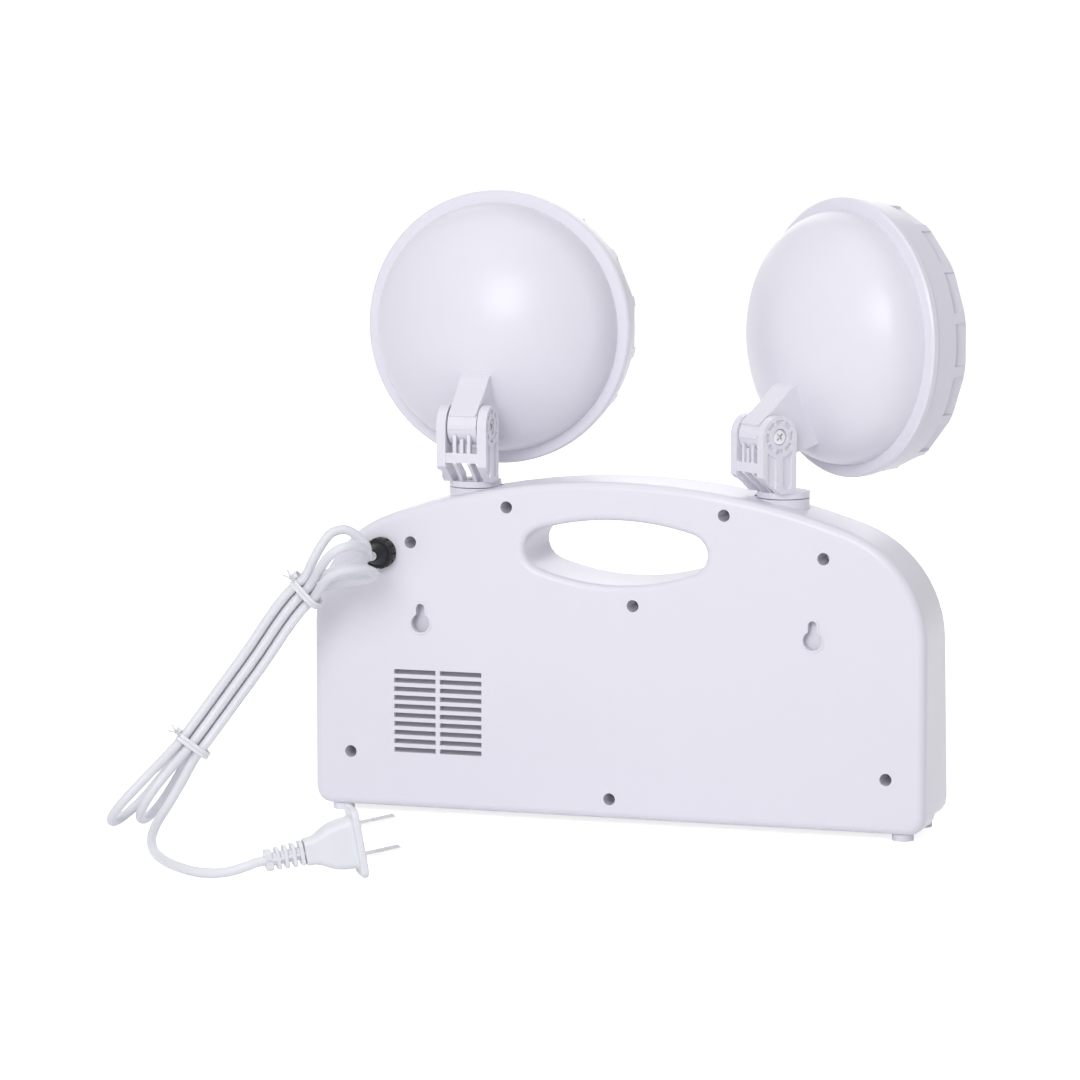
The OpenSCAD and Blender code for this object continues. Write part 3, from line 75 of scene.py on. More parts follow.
def aim(looker, place, target):
    """Puts a camera or a lamp at a place and turns it to a target."""
    looker.location = place
    looker.rotation_euler = (target - place).to_track_quat("-Z", "Y").to_euler()


lens = bpy.data.cameras.new("product_lens")
lens.lens = 166.7
lens.sensor_width = 36
lens.sensor_fit = "HORIZONTAL"
camera = in_scene("product_camera", lens)
aim(camera, eye, look_at)
bpy.context.scene.camera = camera
bpy.context.scene.view_settings.view_transform = "Standard"
print("camera distance:", round((look_at - eye).length, 3), "m")

# %% [markdown]
# ## The folded hank
#
# The mains cord leaves the factory folded to and fro and tied twice. Its path is one line
# that never breaks: five runs lie side by side through both ties, and four open loops join
# them at the ends. It could be drawn by hand, point by point, but such a path
# soon cuts through itself. Here each run has a fixed place in the bundle, counted in cord
# diameters, and each loop swings from one run's place to the next one's. The bundle's own
# middle line comes first: a smooth line through five points.

# %% The middle line of the hank
CORD_D = 0.004
bundle_line = [
    mm(93, 58, 113), mm(125, 54, 98.5), mm(147, 63, 67), mm(167, 78, 35.5), mm(194, 89, -1.5),
]
bundle_faces = Vector((-0.30, 0.95, 0))
tie_stations = (1, 3)


def with_neighbours(points, i):
    """Points i and i + 1 with the ones on either side, made up at the line's ends."""
    b, c = points[i], points[i + 1]
    a = points[i - 1] if i > 0 else 2 * b - c
    d = points[i + 2] if i < len(points) - 2 else 2 * c - b
    return a, b, c, d


def smooth_between(a, b, c, d, t):
    """Place and slope, t of the way from b to c, of a smooth line through all four."""
    square = 2 * a - 5 * b + 4 * c - d
    cube = 3 * b - a - 3 * c + d
    place = (2 * b + (c - a) * t + square * t * t + cube * t**3) / 2
    return place, c - a + 2 * square * t + 3 * cube * t * t


def bundle_at(w):
    """Place and direction of the bundle's middle line, w counted from 0 to 4."""
    i = min(int(w), len(bundle_line) - 2)
    place, slope = smooth_between(*with_neighbours(bundle_line, i), w - i)
    return place, slope.normalized()


def bundle_axes(w):
    """The two directions across the bundle: aside and outwards."""
    along = bundle_at(w)[1]
    out = (bundle_faces - bundle_faces.dot(along) * along).normalized()
    return along.cross(out), out


def in_bundle(w, across):
    """A point that lies `across` diameters off the middle line."""
    aside, out = bundle_axes(w)
    return bundle_at(w)[0] + CORD_D * (across[0] * aside + across[1] * out)


tie_distance = (bundle_at(tie_stations[1])[0] - bundle_at(tie_stations[0])[0]).length
print("the ties are", round(tie_distance, 4), "m apart")

# %% [markdown]
# The five runs lie in two layers, three outside and two in the grooves between them, as a
# hand packs them. The loops are wide enough for the cord to bend gently, and the two at
# each end swing out to places of their own, so that they clear each other. Each loop is one
# line of a table: how far along the bundle it reaches, its farthest place, and how many
# degrees it leans.

# %% Runs and loops
run_places = [(1.15, 0.5), (0.575, -0.5), (0.0, 0.5), (-0.575, -0.5), (-1.15, 0.5)]
loops = [
    (3.98, (1.5, 0.0), 15),
    (0.04, (2.1, 1.25), 25),
    (3.82, (-0.875, -1.25), 15),
    (0.14, (-0.75, 0.0), 25),
]
LOOP_OPENING = 4.5
LOOP_STEPS = 44
RUN_STEPS = 12


def mixed(a, b, share):
    """A pair that is `share` of the way from a to b."""
    return tuple(x * (1 - share) + y * share for x, y in zip(a, b))


def loop_points(k):
    """Loop k, from the end of run k round to the start of the next run."""
    farthest, far_place, lean = loops[k]
    tie = tie_stations[(k + 1) % 2]
    start, stop = run_places[k], run_places[k + 1]
    side = 1 if start[1] > stop[1] else -1
    lean = math.radians(lean)
    points = []
    for j in range(LOOP_STEPS + 1):
        half_turn = math.pi * j / LOOP_STEPS
        reach = (1 - math.cos(2 * half_turn)) / 2
        place = mixed(start, stop, (1 - math.cos(half_turn)) / 2)
        place = mixed(place, far_place, math.sin(half_turn) ** 4)
        opening = side * LOOP_OPENING * math.sin(2 * half_turn) * math.sin(half_turn) ** 2
        across = (place[0] + opening * math.sin(lean), place[1] + opening * math.cos(lean))
        points.append(in_bundle(tie + (farthest - tie) * reach, across))
    return points


def run_points(k):
    """The points of run k between the two ties."""
    start, stop = tie_stations[k % 2], tie_stations[(k + 1) % 2]
    shares = [j / RUN_STEPS for j in range(1, RUN_STEPS)]
    return [in_bundle(start + (stop - start) * s, run_places[k]) for s in shares]


hank_start = in_bundle(tie_stations[0], run_places[0])
hank_end = in_bundle(tie_stations[1], run_places[-1])
hank = [hank_start]
for k in range(len(loops)):
    hank += run_points(k) + loop_points(k)
hank += run_points(len(loops)) + [hank_end]
print("points in the hank:", len(hank))

# %% [markdown]
# ## The lead and the tail
#
# From the gland the cord rises over the top loop and dives into the upper tie. From the
# lower tie it drops to the floor, sweeps out in one wide bow and climbs into the plug. Both
# stretches are drawn as a few points that a smooth line passes through. The plug's place
# and turn come first, because the cord has to enter it straight.

# %% Lead, tail and one smooth line
PLUG_FACE = mm(65.4, 155, 14.5)
PLUG_YAW = math.radians(210)
PLUG_RISE = math.radians(10)
PLUG_LENGTH = 0.039
STEPS_BETWEEN = 8
plug_faces = Vector((
    math.cos(PLUG_YAW) * math.cos(PLUG_RISE),
    math.sin(PLUG_YAW) * math.cos(PLUG_RISE),
    math.sin(PLUG_RISE),
))
plug_end = PLUG_FACE - PLUG_LENGTH * plug_faces

lead = [
    mm(102, 33, 111.5), mm(102, 38, 111.5), mm(101.5, 42.5, 112.8), mm(101, 47, 117.5),
    mm(103.5, 50, 121.5), mm(108, 52.5, 124.3), mm(113.2, 54.8, 123), mm(117, 56.5, 118),
    mm(120, 57.5, 112.5), hank_start - CORD_D * bundle_at(tie_stations[0])[1],
]
tail = [
    hank_end + CORD_D * bundle_at(tie_stations[1])[1],
    mm(166, 84, 26), mm(167.5, 89.5, 20.5), mm(170, 97, 13), mm(171.5, 106, 7),
    mm(169.5, 117, 3.4), mm(163.5, 132, 2.1), mm(155, 148, 2.1), mm(144.5, 162, 2.1),
    mm(134.5, 171.5, 2.1), mm(124, 177.5, 2.1), mm(113.5, 179.5, 3.2), mm(105.5, 178, 5.6),
    plug_end - CORD_D * plug_faces, plug_end, plug_end + 0.5 * CORD_D * plug_faces,
]


def smooth_line(points):
    """A line through all the points, with a few short pieces between each two."""
    line = []
    for i in range(len(points) - 1):
        corners = with_neighbours(points, i)
        line += [smooth_between(*corners, j / STEPS_BETWEEN)[0] for j in range(STEPS_BETWEEN)]
    return line + [points[-1]]


route = smooth_line([*lead, hank_start])[:-1] + hank + smooth_line([hank_end, *tail])[1:]

# %% [markdown]
# ## The cord itself
#
# A curve object with a round bevel is the plainest way to a cord: the curve keeps its own
# middle line. The thickness is the bevel depth times each point's radius. With a depth of
# one, the radius is the cord's true one, and Blender's box round the curve is true as well.
# The points are closer together than a diameter, so straight pieces between them look round.

# %% Cord curve
cord_curve = bpy.data.curves.new("mains_cord", "CURVE")
cord_curve.dimensions = "3D"
cord_curve.bevel_depth = 1.0
cord_curve.bevel_resolution = 5
cord_curve.use_fill_caps = True
strand = cord_curve.splines.new("POLY")
strand.points.add(len(route) - 1)
for point, place in zip(strand.points, route):
    point.co = (*place, 1)
    point.radius = CORD_D / 2
strand.use_smooth = True
mains_cord = in_scene("mains_cord", cord_curve)
print("cord points:", len(strand.points))

# %% [markdown]
# ## A helper that skins rings
#
# The ties, the plug and the gland are all long forms whose cross section changes along the
# way. One helper takes a list of rings, each a closed loop of points, and lays quads between
# neighbours. It could also be done with extrude steps by hand, but rings keep each form
# readable: one line says where the section is and how large.

# %% Skinned rings
def smooth_piece(name, mesh):
    """An object for the mesh, with every face shaded smooth."""
    for face in mesh.polygons:
        face.use_smooth = True
    return in_scene(name, mesh)


def skin(name, rings, closed=False):
    """A mesh object whose surface joins each ring to the next."""
    size, count = len(rings[0]), len(rings)
    faces = []
    for i in range(count if closed else count - 1):
        here, there = i * size, (i + 1) % count * size
        for j in range(size):
            k = (j + 1) % size
            faces.append((here + j, here + k, there + k, there + j))
    if not closed:
        faces.append(tuple(reversed(range(size))))
        faces.append(tuple(range((count - 1) * size, count * size)))
    mesh = bpy.data.meshes.new(name)
    mesh.from_pydata([point for ring in rings for point in ring], [], faces)
    shape = bmesh.new()
    shape.from_mesh(mesh)
    bmesh.ops.recalc_face_normals(shape, faces=shape.faces)
    shape.to_mesh(mesh)
    shape.free()
    return smooth_piece(name, mesh)


# %% [markdown]
# Two small helpers go with it. One makes several skinned forms one piece, because what is
# moulded in one shot should also move and be named as one. The other draws the commonest
# section here, a rectangle with round corners.

# %% Joined forms and round boxes
def joined(name, parts):
    """Several small meshes as one piece."""
    verts, faces = [], []
    for part in parts:
        base = len(verts)
        verts += [v.co.copy() for v in part.data.vertices]
        faces += [tuple(base + i for i in face.vertices) for face in part.data.polygons]
        bpy.data.objects.remove(part)
    mesh = bpy.data.meshes.new(name)
    mesh.from_pydata(verts, [], faces)
    mesh.update()
    return smooth_piece(name, mesh)


def round_box(width, height, corner, steps=6):
    """A rectangle with round corners, as (across, up) pairs in order."""
    pairs = []
    for cx, cz, start in ((1, 1, 0), (-1, 1, 90), (-1, -1, 180), (1, -1, 270)):
        for j in range(steps + 1):
            angle = math.radians(start + 90 * j / steps)
            pairs.append((
                cx * (width / 2 - corner) + corner * math.cos(angle),
                cz * (height / 2 - corner) + corner * math.sin(angle),
            ))
    return pairs


print("ring of a round box has", len(round_box(2, 2, 0.5)), "points")

# %% [markdown]
# ## Twist ties
#
# Each tie is a flat plastic strip with a wire in it that goes round the bundle twice. A
# torus would do from afar, but the strip's flat section is what the eye reads as a tie, so
# the strip is swept round the bundle's own oval. It slides a little along the bundle and
# lifts by a hair as it goes, so that the second turn lies beside the first.

# %% Tie strips
STRIP_W, STRIP_T = 0.0016, 0.0006
STRIP_CORNER = 0.45 * STRIP_T
STRIP_MIDDLE, STRIP_R, SIDE_SHARPNESS = 0.0036, 0.0050, 3
STRIP_TURNS, STRIP_STEPS = 2, 44
STRIP_START = 0.36
STRIP_SLIDE, STRIP_LIFT = 0.0016, 0.0001


def tie_place(w, x, y, z):
    """A point near a tie: x aside, y outwards, z along the bundle."""
    place, along = bundle_at(w)
    aside, out = bundle_axes(w)
    return place - x * aside + y * out + z * along


def oval(share):
    """Round the bundle once: a place on the oval, and the way out of it."""
    angle = 2 * math.pi * share
    out = Vector((math.cos(angle), math.sin(angle), 0))
    aside = math.copysign(STRIP_MIDDLE, out.x) * min(1, abs(out.x) * SIDE_SHARPNESS)
    return Vector((aside, 0, 0)) + STRIP_R * out, out


def tie_strip(w):
    """The strip's turns round the bundle at station w."""
    section = round_box(STRIP_W, STRIP_T, STRIP_CORNER, 3)
    rings = []
    for i in range(STRIP_TURNS * STRIP_STEPS + 1):
        share = i / STRIP_STEPS
        centre, out = oval(share + STRIP_START)
        slide = STRIP_SLIDE * (share / STRIP_TURNS - 0.5) * 2
        rings.append([
            tie_place(w, *(
                centre + out * (up + STRIP_LIFT * share) + Vector((0, 0, slide + across))
            ))
            for across, up in section
        ])
    return skin("strip", rings)


print("one turn of a strip:", STRIP_STEPS, "sections")

# %% [markdown]
# The strip's two ends are twisted together and then spring apart. Each is a thin tube on a
# helix whose turning, in radians, stops part of the way. From there the two tubes spread.

# %% Twisted ends
TWIST_ASIDE, TWIST_OUT = -STRIP_MIDDLE - STRIP_R * 0.55, STRIP_R * 0.92
TWIST_LENGTH, TWIST_RISE = 0.0055, 0.0016
TWIST_TURN, TWIST_STOP = 14, 0.55
END_R, END_GAP, END_SPREAD = 0.00045, 0.0005, 0.0022
END_STEPS, END_SIDES = 40, 10


def tie_twist(w, phase):
    """One of the two ends at station w, starting at an angle round the twist."""
    rings = []
    for i in range(END_STEPS + 1):
        t = i / END_STEPS
        angle = phase + min(t, TWIST_STOP) * TWIST_TURN
        spread = END_GAP + max(0, t - TWIST_STOP) * END_SPREAD
        centre = Vector((
            TWIST_ASIDE - TWIST_LENGTH * t,
            TWIST_OUT + TWIST_RISE * t + spread * math.cos(angle),
            spread * math.sin(angle),
        ))
        rings.append([
            tie_place(w, *(centre + Vector((0, math.cos(a), math.sin(a))) * END_R))
            for a in [2 * math.pi * j / END_SIDES for j in range(END_SIDES)]
        ])
    return skin("end", rings)


ties = []
for label, w in zip(("upper", "lower"), tie_stations):
    ties.append(joined(f"twist_tie_{label}", [
        tie_strip(w), tie_twist(w, 0.0), tie_twist(w, math.pi),
    ]))
for tie in ties:
    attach(tie, "housing")
    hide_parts("cord_ties")
print("ties:", [tie.name for tie in ties])

# %% [markdown]
# ## The moulded plug
#
# A two blade plug is moulded round the cord in one shot of white vinyl: a broad flange for
# the fingers, a body that narrows to a neck, and a ribbed sleeve that lets the cord bend.
# Its sections are round boxes, so it is skinned from rings. Rings set close together at an
# edge round that edge off, as a support loop does under a subdivision surface. Each section
# is given as place (the face is at 0), width, height and corner, in millimetres.

# %% Plug moulding
plug_frame = (
    Matrix.Translation(PLUG_FACE)
    @ Matrix.Rotation(PLUG_YAW, 4, "Z")
    @ Matrix.Rotation(-PLUG_RISE, 4, "Y")
)
flange_sections = [
    (0.0, 15.6, 25.6, 2.6), (-0.1, 16.8, 26.8, 2.9), (-0.5, 17.7, 27.7, 3.2),
    (-1.0, 18.0, 28.0, 3.3), (-2.2, 18.0, 28.0, 3.3), (-2.7, 17.6, 27.6, 3.2),
    (-3.0, 16.8, 26.8, 3.1), (-3.1, 15.0, 22.6, 3.1), (-3.3, 13.9, 21.0, 3.1),
]
body_sections = [
    (-3.9, 13.1, 20.1, 3.1), (-8.0, 12.6, 19.6, 3.0), (-12.0, 11.7, 18.0, 3.0),
    (-15.0, 10.6, 15.4, 3.0), (-17.6, 9.5, 12.4, 2.9), (-19.4, 9.0, 11.2, 2.8),
    (-22.2, 8.7, 10.8, 2.8), (-22.8, 8.4, 10.5, 2.7), (-23.1, 7.4, 9.4, 2.4),
]


def plug_ring(x, width, height, corner):
    """One section of the plug, x millimetres in front of its face."""
    pairs = round_box(width, height, corner)
    return [plug_frame @ mm(x, across, up) for across, up in pairs]


moulding = skin("plug_moulding", [
    plug_ring(*section) for section in flange_sections + body_sections
])
print("plug sections:", len(flange_sections) + len(body_sections))

# %% [markdown]
# The sleeve behind the neck is cut like a ladder, so that it bends step by step: an end
# block and four ribs, each a little larger than the one before, on a thin core, with one bar
# along the middle of each side. Every rib is one slab with its rims rounded off.

# %% Ribbed sleeve
SLAB_CORNER = 1.6
slab_rim = ((0.0, 0.8), (0.12, 0.25), (0.4, 0.0))
END_BLOCK, END_LENGTH, END_W, END_H = -39.0, 2.9, 6.6, 8.4
FIRST_RIB, RIB_LENGTH, RIB_W, RIB_H = -34.7, 1.7, 6.9, 8.7
RIBS, RIB_PITCH, RIB_GROWTH = 4, 3.2, 0.3
core_ends = (-38.5, -22.5)
core_section, bars_section = (4.6, 5.2, 1.9), (6.6, 1.5, 0.6)


def slab(start, length, width, height):
    """A flat block along the plug, a little smaller at both of its ends."""
    places = [(start + x, less) for x, less in slab_rim]
    places += [(start + length - x, less) for x, less in reversed(slab_rim)]
    return skin("slab", [
        plug_ring(x, width - less, height - less, SLAB_CORNER - less / 2) for x, less in places
    ])


sleeve = [slab(END_BLOCK, END_LENGTH, END_W, END_H)]
for rib in range(RIBS):
    wider = RIB_GROWTH * rib
    sleeve.append(slab(FIRST_RIB + RIB_PITCH * rib, RIB_LENGTH, RIB_W + wider, RIB_H + wider))
sleeve.append(skin("core", [plug_ring(x, *core_section) for x in core_ends]))
sleeve.append(skin("bars", [plug_ring(x, *bars_section) for x in core_ends]))
plug = joined("plug_moulded", [moulding, *sleeve])
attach(plug, "housing")
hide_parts("plug_body")
print("plug vertices:", len(plug.data.vertices))

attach(mains_cord, "housing")
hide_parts("cord_lead", "cord_hank", "cord_tail")
print("the cord leaves at", [round(v, 4) for v in lead[0]], "m")

# %% [markdown]
# ## The gland
#
# A black nylon gland grips the cord where it enters the shell. Outside it has a grooved cap
# for the fingers and a nose that tapers down to the cord, so that the cord isn't bent over a
# sharp edge. Turned forms like this are skinned from round rings too, with the cap's
# radius rising and falling as it goes round. A section is given as place, radius and, on
# the cap, the depth of the grooves.

# %% Cord gland
GLAND_X, GLAND_Z = 102.0, 111.5
CAP_GROOVES = 12
RING_STEPS = 96
stem_sections = [(15.0, 4.2), (15.3, 4.6), (23.9, 4.6), (24.0, 5.4), (24.05, 6.3), (24.3, 6.55)]
cap_sections = [(25.0, 6.6, 0.2), (25.6, 6.6, 0.8), (28.2, 6.6, 0.8), (28.7, 6.45, 0.5)]
nose_sections = [
    (29.0, 6.0), (29.1, 5.2), (29.5, 4.85), (31.5, 4.3),
    (33.5, 3.6), (35.2, 2.9), (35.9, 2.55), (36.1, 2.2),
]


def gland_ring(y, radius, groove=0.0):
    """A round section of the gland at depth y, with grooves where it has them."""
    points = []
    for j in range(RING_STEPS):
        angle = 2 * math.pi * j / RING_STEPS
        dip = max(0.0, math.cos(CAP_GROOVES * angle)) ** 3
        r = radius - groove * dip
        points.append(mm(GLAND_X + r * math.cos(angle), y, GLAND_Z + r * math.sin(angle)))
    return points


gland = skin("gland_with_nose", [
    gland_ring(*section) for section in stem_sections + cap_sections + nose_sections
])
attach(gland, "housing")
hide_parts("cord_gland")
print("gland reaches", round(max(v.co.y for v in gland.data.vertices), 4), "m")

# %% [markdown]
# ## Behind the rear wall
#
# Each keyhole has a shallow cup behind it, so that a screw head in the wall can't reach what
# is inside, and a low lip round it that a finger can find. The keyhole's outline, grown by a
# little or a lot, gives both: a closed band of rings is the lip, and a stack of them is the
# cup. Here too the sections stand in a table, as place and growth in millimetres.

# %% Keyhole lips and cups
REAR_Y, INNER_Y = 24.0, 21.5
KEY_X, KEY_Z = 84.9, 82.1
KEY_R, SLOT_HALF, SLOT_RISE = 4.0, 1.8, 6.4
KEY_STEPS, SLOT_STEPS = 40, 24
CUP_FLOOR = 0.6
lip_sections = [(-0.3, 0.0), (0.3, 0.0), (0.42, 0.15), (0.42, 0.75), (0.25, 0.95), (-0.3, 1.0)]


def keyhole_ring(x, y, grow):
    """The keyhole's outline in the plane y, grown by a width."""
    big, small = KEY_R + grow, SLOT_HALF + grow
    meet = math.acos(small / big)
    points = []
    for j in range(KEY_STEPS + 1):
        angle = meet - (math.pi + 2 * meet) * j / KEY_STEPS
        points.append((big * math.cos(angle), big * math.sin(angle)))
    for j in range(SLOT_STEPS + 1):
        angle = math.pi * (1 - j / SLOT_STEPS)
        points.append((small * math.cos(angle), SLOT_RISE + small * math.sin(angle)))
    return [mm(x + across, y, KEY_Z + up) for across, up in points]


cups = []
for x, depth in ((-KEY_X, 1.9), (KEY_X, 3.4)):
    lip = [keyhole_ring(x, REAR_Y + out, grow) for out, grow in lip_sections]
    cups.append(skin("lip", lip, closed=True))
    bottom = INNER_Y - depth
    cup_sections = ((bottom + CUP_FLOOR, 2.0), (INNER_Y, 2.2), (INNER_Y, 3.0), (bottom, 2.8))
    cups.append(skin("cup", [keyhole_ring(x, y, grow) for y, grow in cup_sections]))
keyhole_cups = joined("keyhole_cups", cups)
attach(keyhole_cups, "housing")
print("lips and cups:", len(cups), "forms in", keyhole_cups.name)

# %% [markdown]
# A grey filter cloth lies behind the vents and keeps dust off the board. It could be a plain
# sheet, but its cut edge is soft, so it is a thin round box whose rim is pressed in.

# %% Vent filter
VENT_LEFT, VENT_RIGHT, VENT_LOW, VENT_HIGH = 56.5, 98.5, 25.0, 64.0
FILTER_CORNER = 1.5
filter_sections = ((20.3, 0.6), (20.4, 0.15), (20.9, 0.0), (21.35, 0.15), (21.45, 0.6))


def filter_ring(y, inset):
    """The cloth's outline in the plane y, smaller by an inset all round."""
    width = VENT_RIGHT - VENT_LEFT - 2 * inset
    height = VENT_HIGH - VENT_LOW - 2 * inset
    middle_x, middle_z = (VENT_LEFT + VENT_RIGHT) / 2, (VENT_LOW + VENT_HIGH) / 2
    pairs = round_box(width, height, FILTER_CORNER)
    return [mm(middle_x + across, y, middle_z + up) for across, up in pairs]


vent_filter = skin("vent_filter", [filter_ring(*section) for section in filter_sections])
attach(vent_filter, "housing")
print("filter cloth:", [round(v, 4) for v in vent_filter.dimensions], "m")

# %% [markdown]
# ## The foot of each lamp's arm
#
# Where the arm meets its barrel the real moulding has a ledge, a plain band and a low bar,
# all straight across. They are thin enough to clear the bracket's ribs when the lamp tilts,
# so each head gets them as one small piece that rides with it. Outlines are drawn seen
# from the side, as (back, up) from the tilt screw. The ledge's outline follows the arm's
# sloping back, and the bar's goes round the barrel.

# %% Ledge and bar
BARREL_R, FOOT_W = 8.0, 12.2
LEFT_TURN = math.radians(-37)
tilt_screws = {
    "right": Matrix.Translation(mm(67, 14.5, 165.2)),
    "left": Matrix.Translation(mm(-60.681, 12.386, 165.2)) @ Matrix.Rotation(LEFT_TURN, 4, "Z"),
}
arm_foot = Vector((7.36, 3.2))
up_the_arm = Vector((-0.7195, 0.6945))
off_the_arm = Vector((0.6945, 0.7195))
ledge_profile = ((1.4, -0.8), (1.1, 1.1), (1.5, 1.45), (6.0, 1.2), (17.0, 0.1), (17.4, -0.8))
ledge_outline = [
    arm_foot + up_the_arm * along + off_the_arm * out for along, out in ledge_profile
]
half_bar = ((5, 0.42), (6.3, 0.3), (6.5, -0.6))
bar_outline = [
    Vector((math.cos(math.radians(a)), math.sin(math.radians(a)))) * (BARREL_R + rise)
    for a, rise in [(-angle, rise) for angle, rise in reversed(half_bar)] + [*half_bar]
]
strip_sections = ((-0.5, 0.8), (-0.47, 1), (0.47, 1), (0.5, 0.8))


def across_arm(side, outline):
    """An outline pulled straight across one head's arm, with its ends rounded off."""
    middle = sum(outline, Vector((0, 0))) / len(outline)
    rings = []
    for place, size in strip_sections:
        points = [middle + (point - middle) * size for point in outline]
        rings.append([tilt_screws[side] @ mm(FOOT_W * place, *point) for point in points])
    return skin("strip", rings)


arm_feet = []
for side in tilt_screws:
    foot = joined(f"{side}_arm_foot", [
        across_arm(side, ledge_outline), across_arm(side, bar_outline),
    ])
    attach(foot, f"{side}_head")
    arm_feet.append(foot)
print("feet of the arms:", [foot.name for foot in arm_feet])

# %% [markdown]
# ## Finishes: a common start
#
# Every finish is a Principled shader whose plain values sit on the shader's own sockets.
# What varies over the surface comes from noise in the piece's own coordinates, which are in
# metres: a noise scale of 1000 gives grains about a millimetre apart.

# %% Start of a finish
finishes = {}


def new_finish(name, colour, roughness, metal=0.0, **plain):
    """A Principled material with its plain values set, and its node tree."""
    finish = bpy.data.materials.new(name)
    finish.use_nodes = True
    tree = finish.node_tree
    shader = tree.nodes["Principled BSDF"]
    shader.inputs["Base Color"].default_value = (*colour, 1)
    shader.inputs["Roughness"].default_value = roughness
    shader.inputs["Metallic"].default_value = metal
    for socket, value in plain.items():
        shader.inputs[socket.replace("_", " ")].default_value = value
    finish.diffuse_color = (*colour, 1)
    return finish, tree, shader


def on_piece(tree, texture):
    """The texture, laid out in the piece's own coordinates."""
    place = tree.nodes.new("ShaderNodeTexCoord")
    tree.links.new(place.outputs["Object"], texture.inputs["Vector"])
    return texture


def noise(tree, scale, detail=3.0, stretch=(1, 1, 1)):
    """Noise from 0 to 1, squeezed along an axis where stretch says so."""
    squeeze = on_piece(tree, tree.nodes.new("ShaderNodeMapping"))
    squeeze.inputs["Scale"].default_value = stretch
    grain = tree.nodes.new("ShaderNodeTexNoise")
    grain.inputs["Scale"].default_value = scale
    grain.inputs["Detail"].default_value = detail
    tree.links.new(squeeze.outputs["Vector"], grain.inputs["Vector"])
    return grain.outputs["Fac"]


asked_for = {slot.material.name for part in nodes.values() for slot in part.material_slots}
print("the CAD parts ask for:", sorted(asked_for))

# %% [markdown]
# Three things nearly always vary, so they get a helper each: a roughness that drifts a
# little, as it does on anything that has been handled, a bump that breaks up the
# reflections, and a colour that wanders between two close shades. Noise seldom reaches 0 or
# 1, so all that counts happens between the two values below.

# %% What varies
NOISE_LOW, NOISE_HIGH = 0.3, 0.7


def vary_roughness(tree, shader, low, high, scale, detail=3.0):
    """Roughness drifts between low and high."""
    drift = tree.nodes.new("ShaderNodeMapRange")
    drift.inputs["From Min"].default_value = NOISE_LOW
    drift.inputs["From Max"].default_value = NOISE_HIGH
    drift.inputs["To Min"].default_value = low
    drift.inputs["To Max"].default_value = high
    tree.links.new(noise(tree, scale, detail), drift.inputs["Value"])
    tree.links.new(drift.outputs["Result"], shader.inputs["Roughness"])


def bump(tree, shader, height, depth):
    """Height, 0 to 1, as a relief that is `depth` metres deep. Reliefs add up."""
    relief = tree.nodes.new("ShaderNodeBump")
    relief.inputs["Strength"].default_value = 1.0
    relief.inputs["Distance"].default_value = depth
    tree.links.new(height, relief.inputs["Height"])
    before = shader.inputs["Normal"].links
    if before:
        tree.links.new(before[0].from_socket, relief.inputs["Normal"])
    tree.links.new(relief.outputs["Normal"], shader.inputs["Normal"])


def tint(tree, shader, source, dark, light):
    """Colour drifts between two close shades as source goes from 0 to 1."""
    ramp = tree.nodes.new("ShaderNodeValToRGB")
    stops = ((NOISE_LOW, dark), (NOISE_HIGH, light))
    for stop, (position, colour) in zip(ramp.color_ramp.elements, stops):
        stop.position = position
        stop.color = (*colour, 1)
    tree.links.new(source, ramp.inputs["Fac"])
    tree.links.new(ramp.outputs["Color"], shader.inputs["Base Color"])


def let_light_in(shader, weight, depth):
    """Some of the light goes `depth` metres under the surface and comes out beside."""
    shader.inputs["Subsurface Weight"].default_value = weight
    shader.inputs["Subsurface Radius"].default_value = (1.0, 1.0, 1.0)
    shader.inputs["Subsurface Scale"].default_value = depth


print("variation counts from", NOISE_LOW, "to", NOISE_HIGH)

# %% [markdown]
# ## Glossy white shells
#
# The shells, brackets and lamp heads are moulded ABS: a cool white with a hint of lavender
# and a soft gloss. Polished steel moulds leave faint long waves in such a surface and almost
# no grain, and that is why its highlights are broad with slightly unsteady edges. So the
# bump has two sizes: waves some centimetres long, and a very shallow fine grain.

# %% White ABS
SHELL_WHITE = (0.790, 0.776, 0.848)
SHELL_DARKER, SHELL_LIGHTER = (0.787, 0.773, 0.846), (0.793, 0.780, 0.851)
abs_white, tree, shader = new_finish(
    "white_abs", SHELL_WHITE, 0.3, IOR=1.5, Specular_IOR_Level=0.42
)
let_light_in(shader, 0.06, 0.0012)
vary_roughness(tree, shader, 0.28, 0.34, 16, 0.5)
bump(tree, shader, noise(tree, 22, 0), 0.00007)
bump(tree, shader, noise(tree, 2600, 2), 0.000003)
tint(tree, shader, noise(tree, 9, 0), SHELL_DARKER, SHELL_LIGHTER)
finishes["shell_white"] = abs_white
print("white ABS:", len(tree.nodes), "nodes")

# %% [markdown]
# ## Vinyl cord and ties
#
# The cord, its plug and the sleeve are soft white vinyl. It is a little bluer and duller
# than the shells, and it shows tiny drawn lines and a few darker rubs where hands and the
# floor have touched it. The ties' strip is milky: a good part of the light goes into it, so
# it looks paler than its colour.

# %% White vinyl and tie strip
cord_vinyl, tree, shader = new_finish("white_vinyl", (0.775, 0.785, 0.825), 0.38)
let_light_in(shader, 0.08, 0.0008)
vary_roughness(tree, shader, 0.32, 0.46, 260)
bump(tree, shader, noise(tree, 900, 4), 0.00002)
tint(tree, shader, noise(tree, 45), (0.76, 0.77, 0.81), (0.79, 0.80, 0.84))
finishes["cord_white"] = cord_vinyl

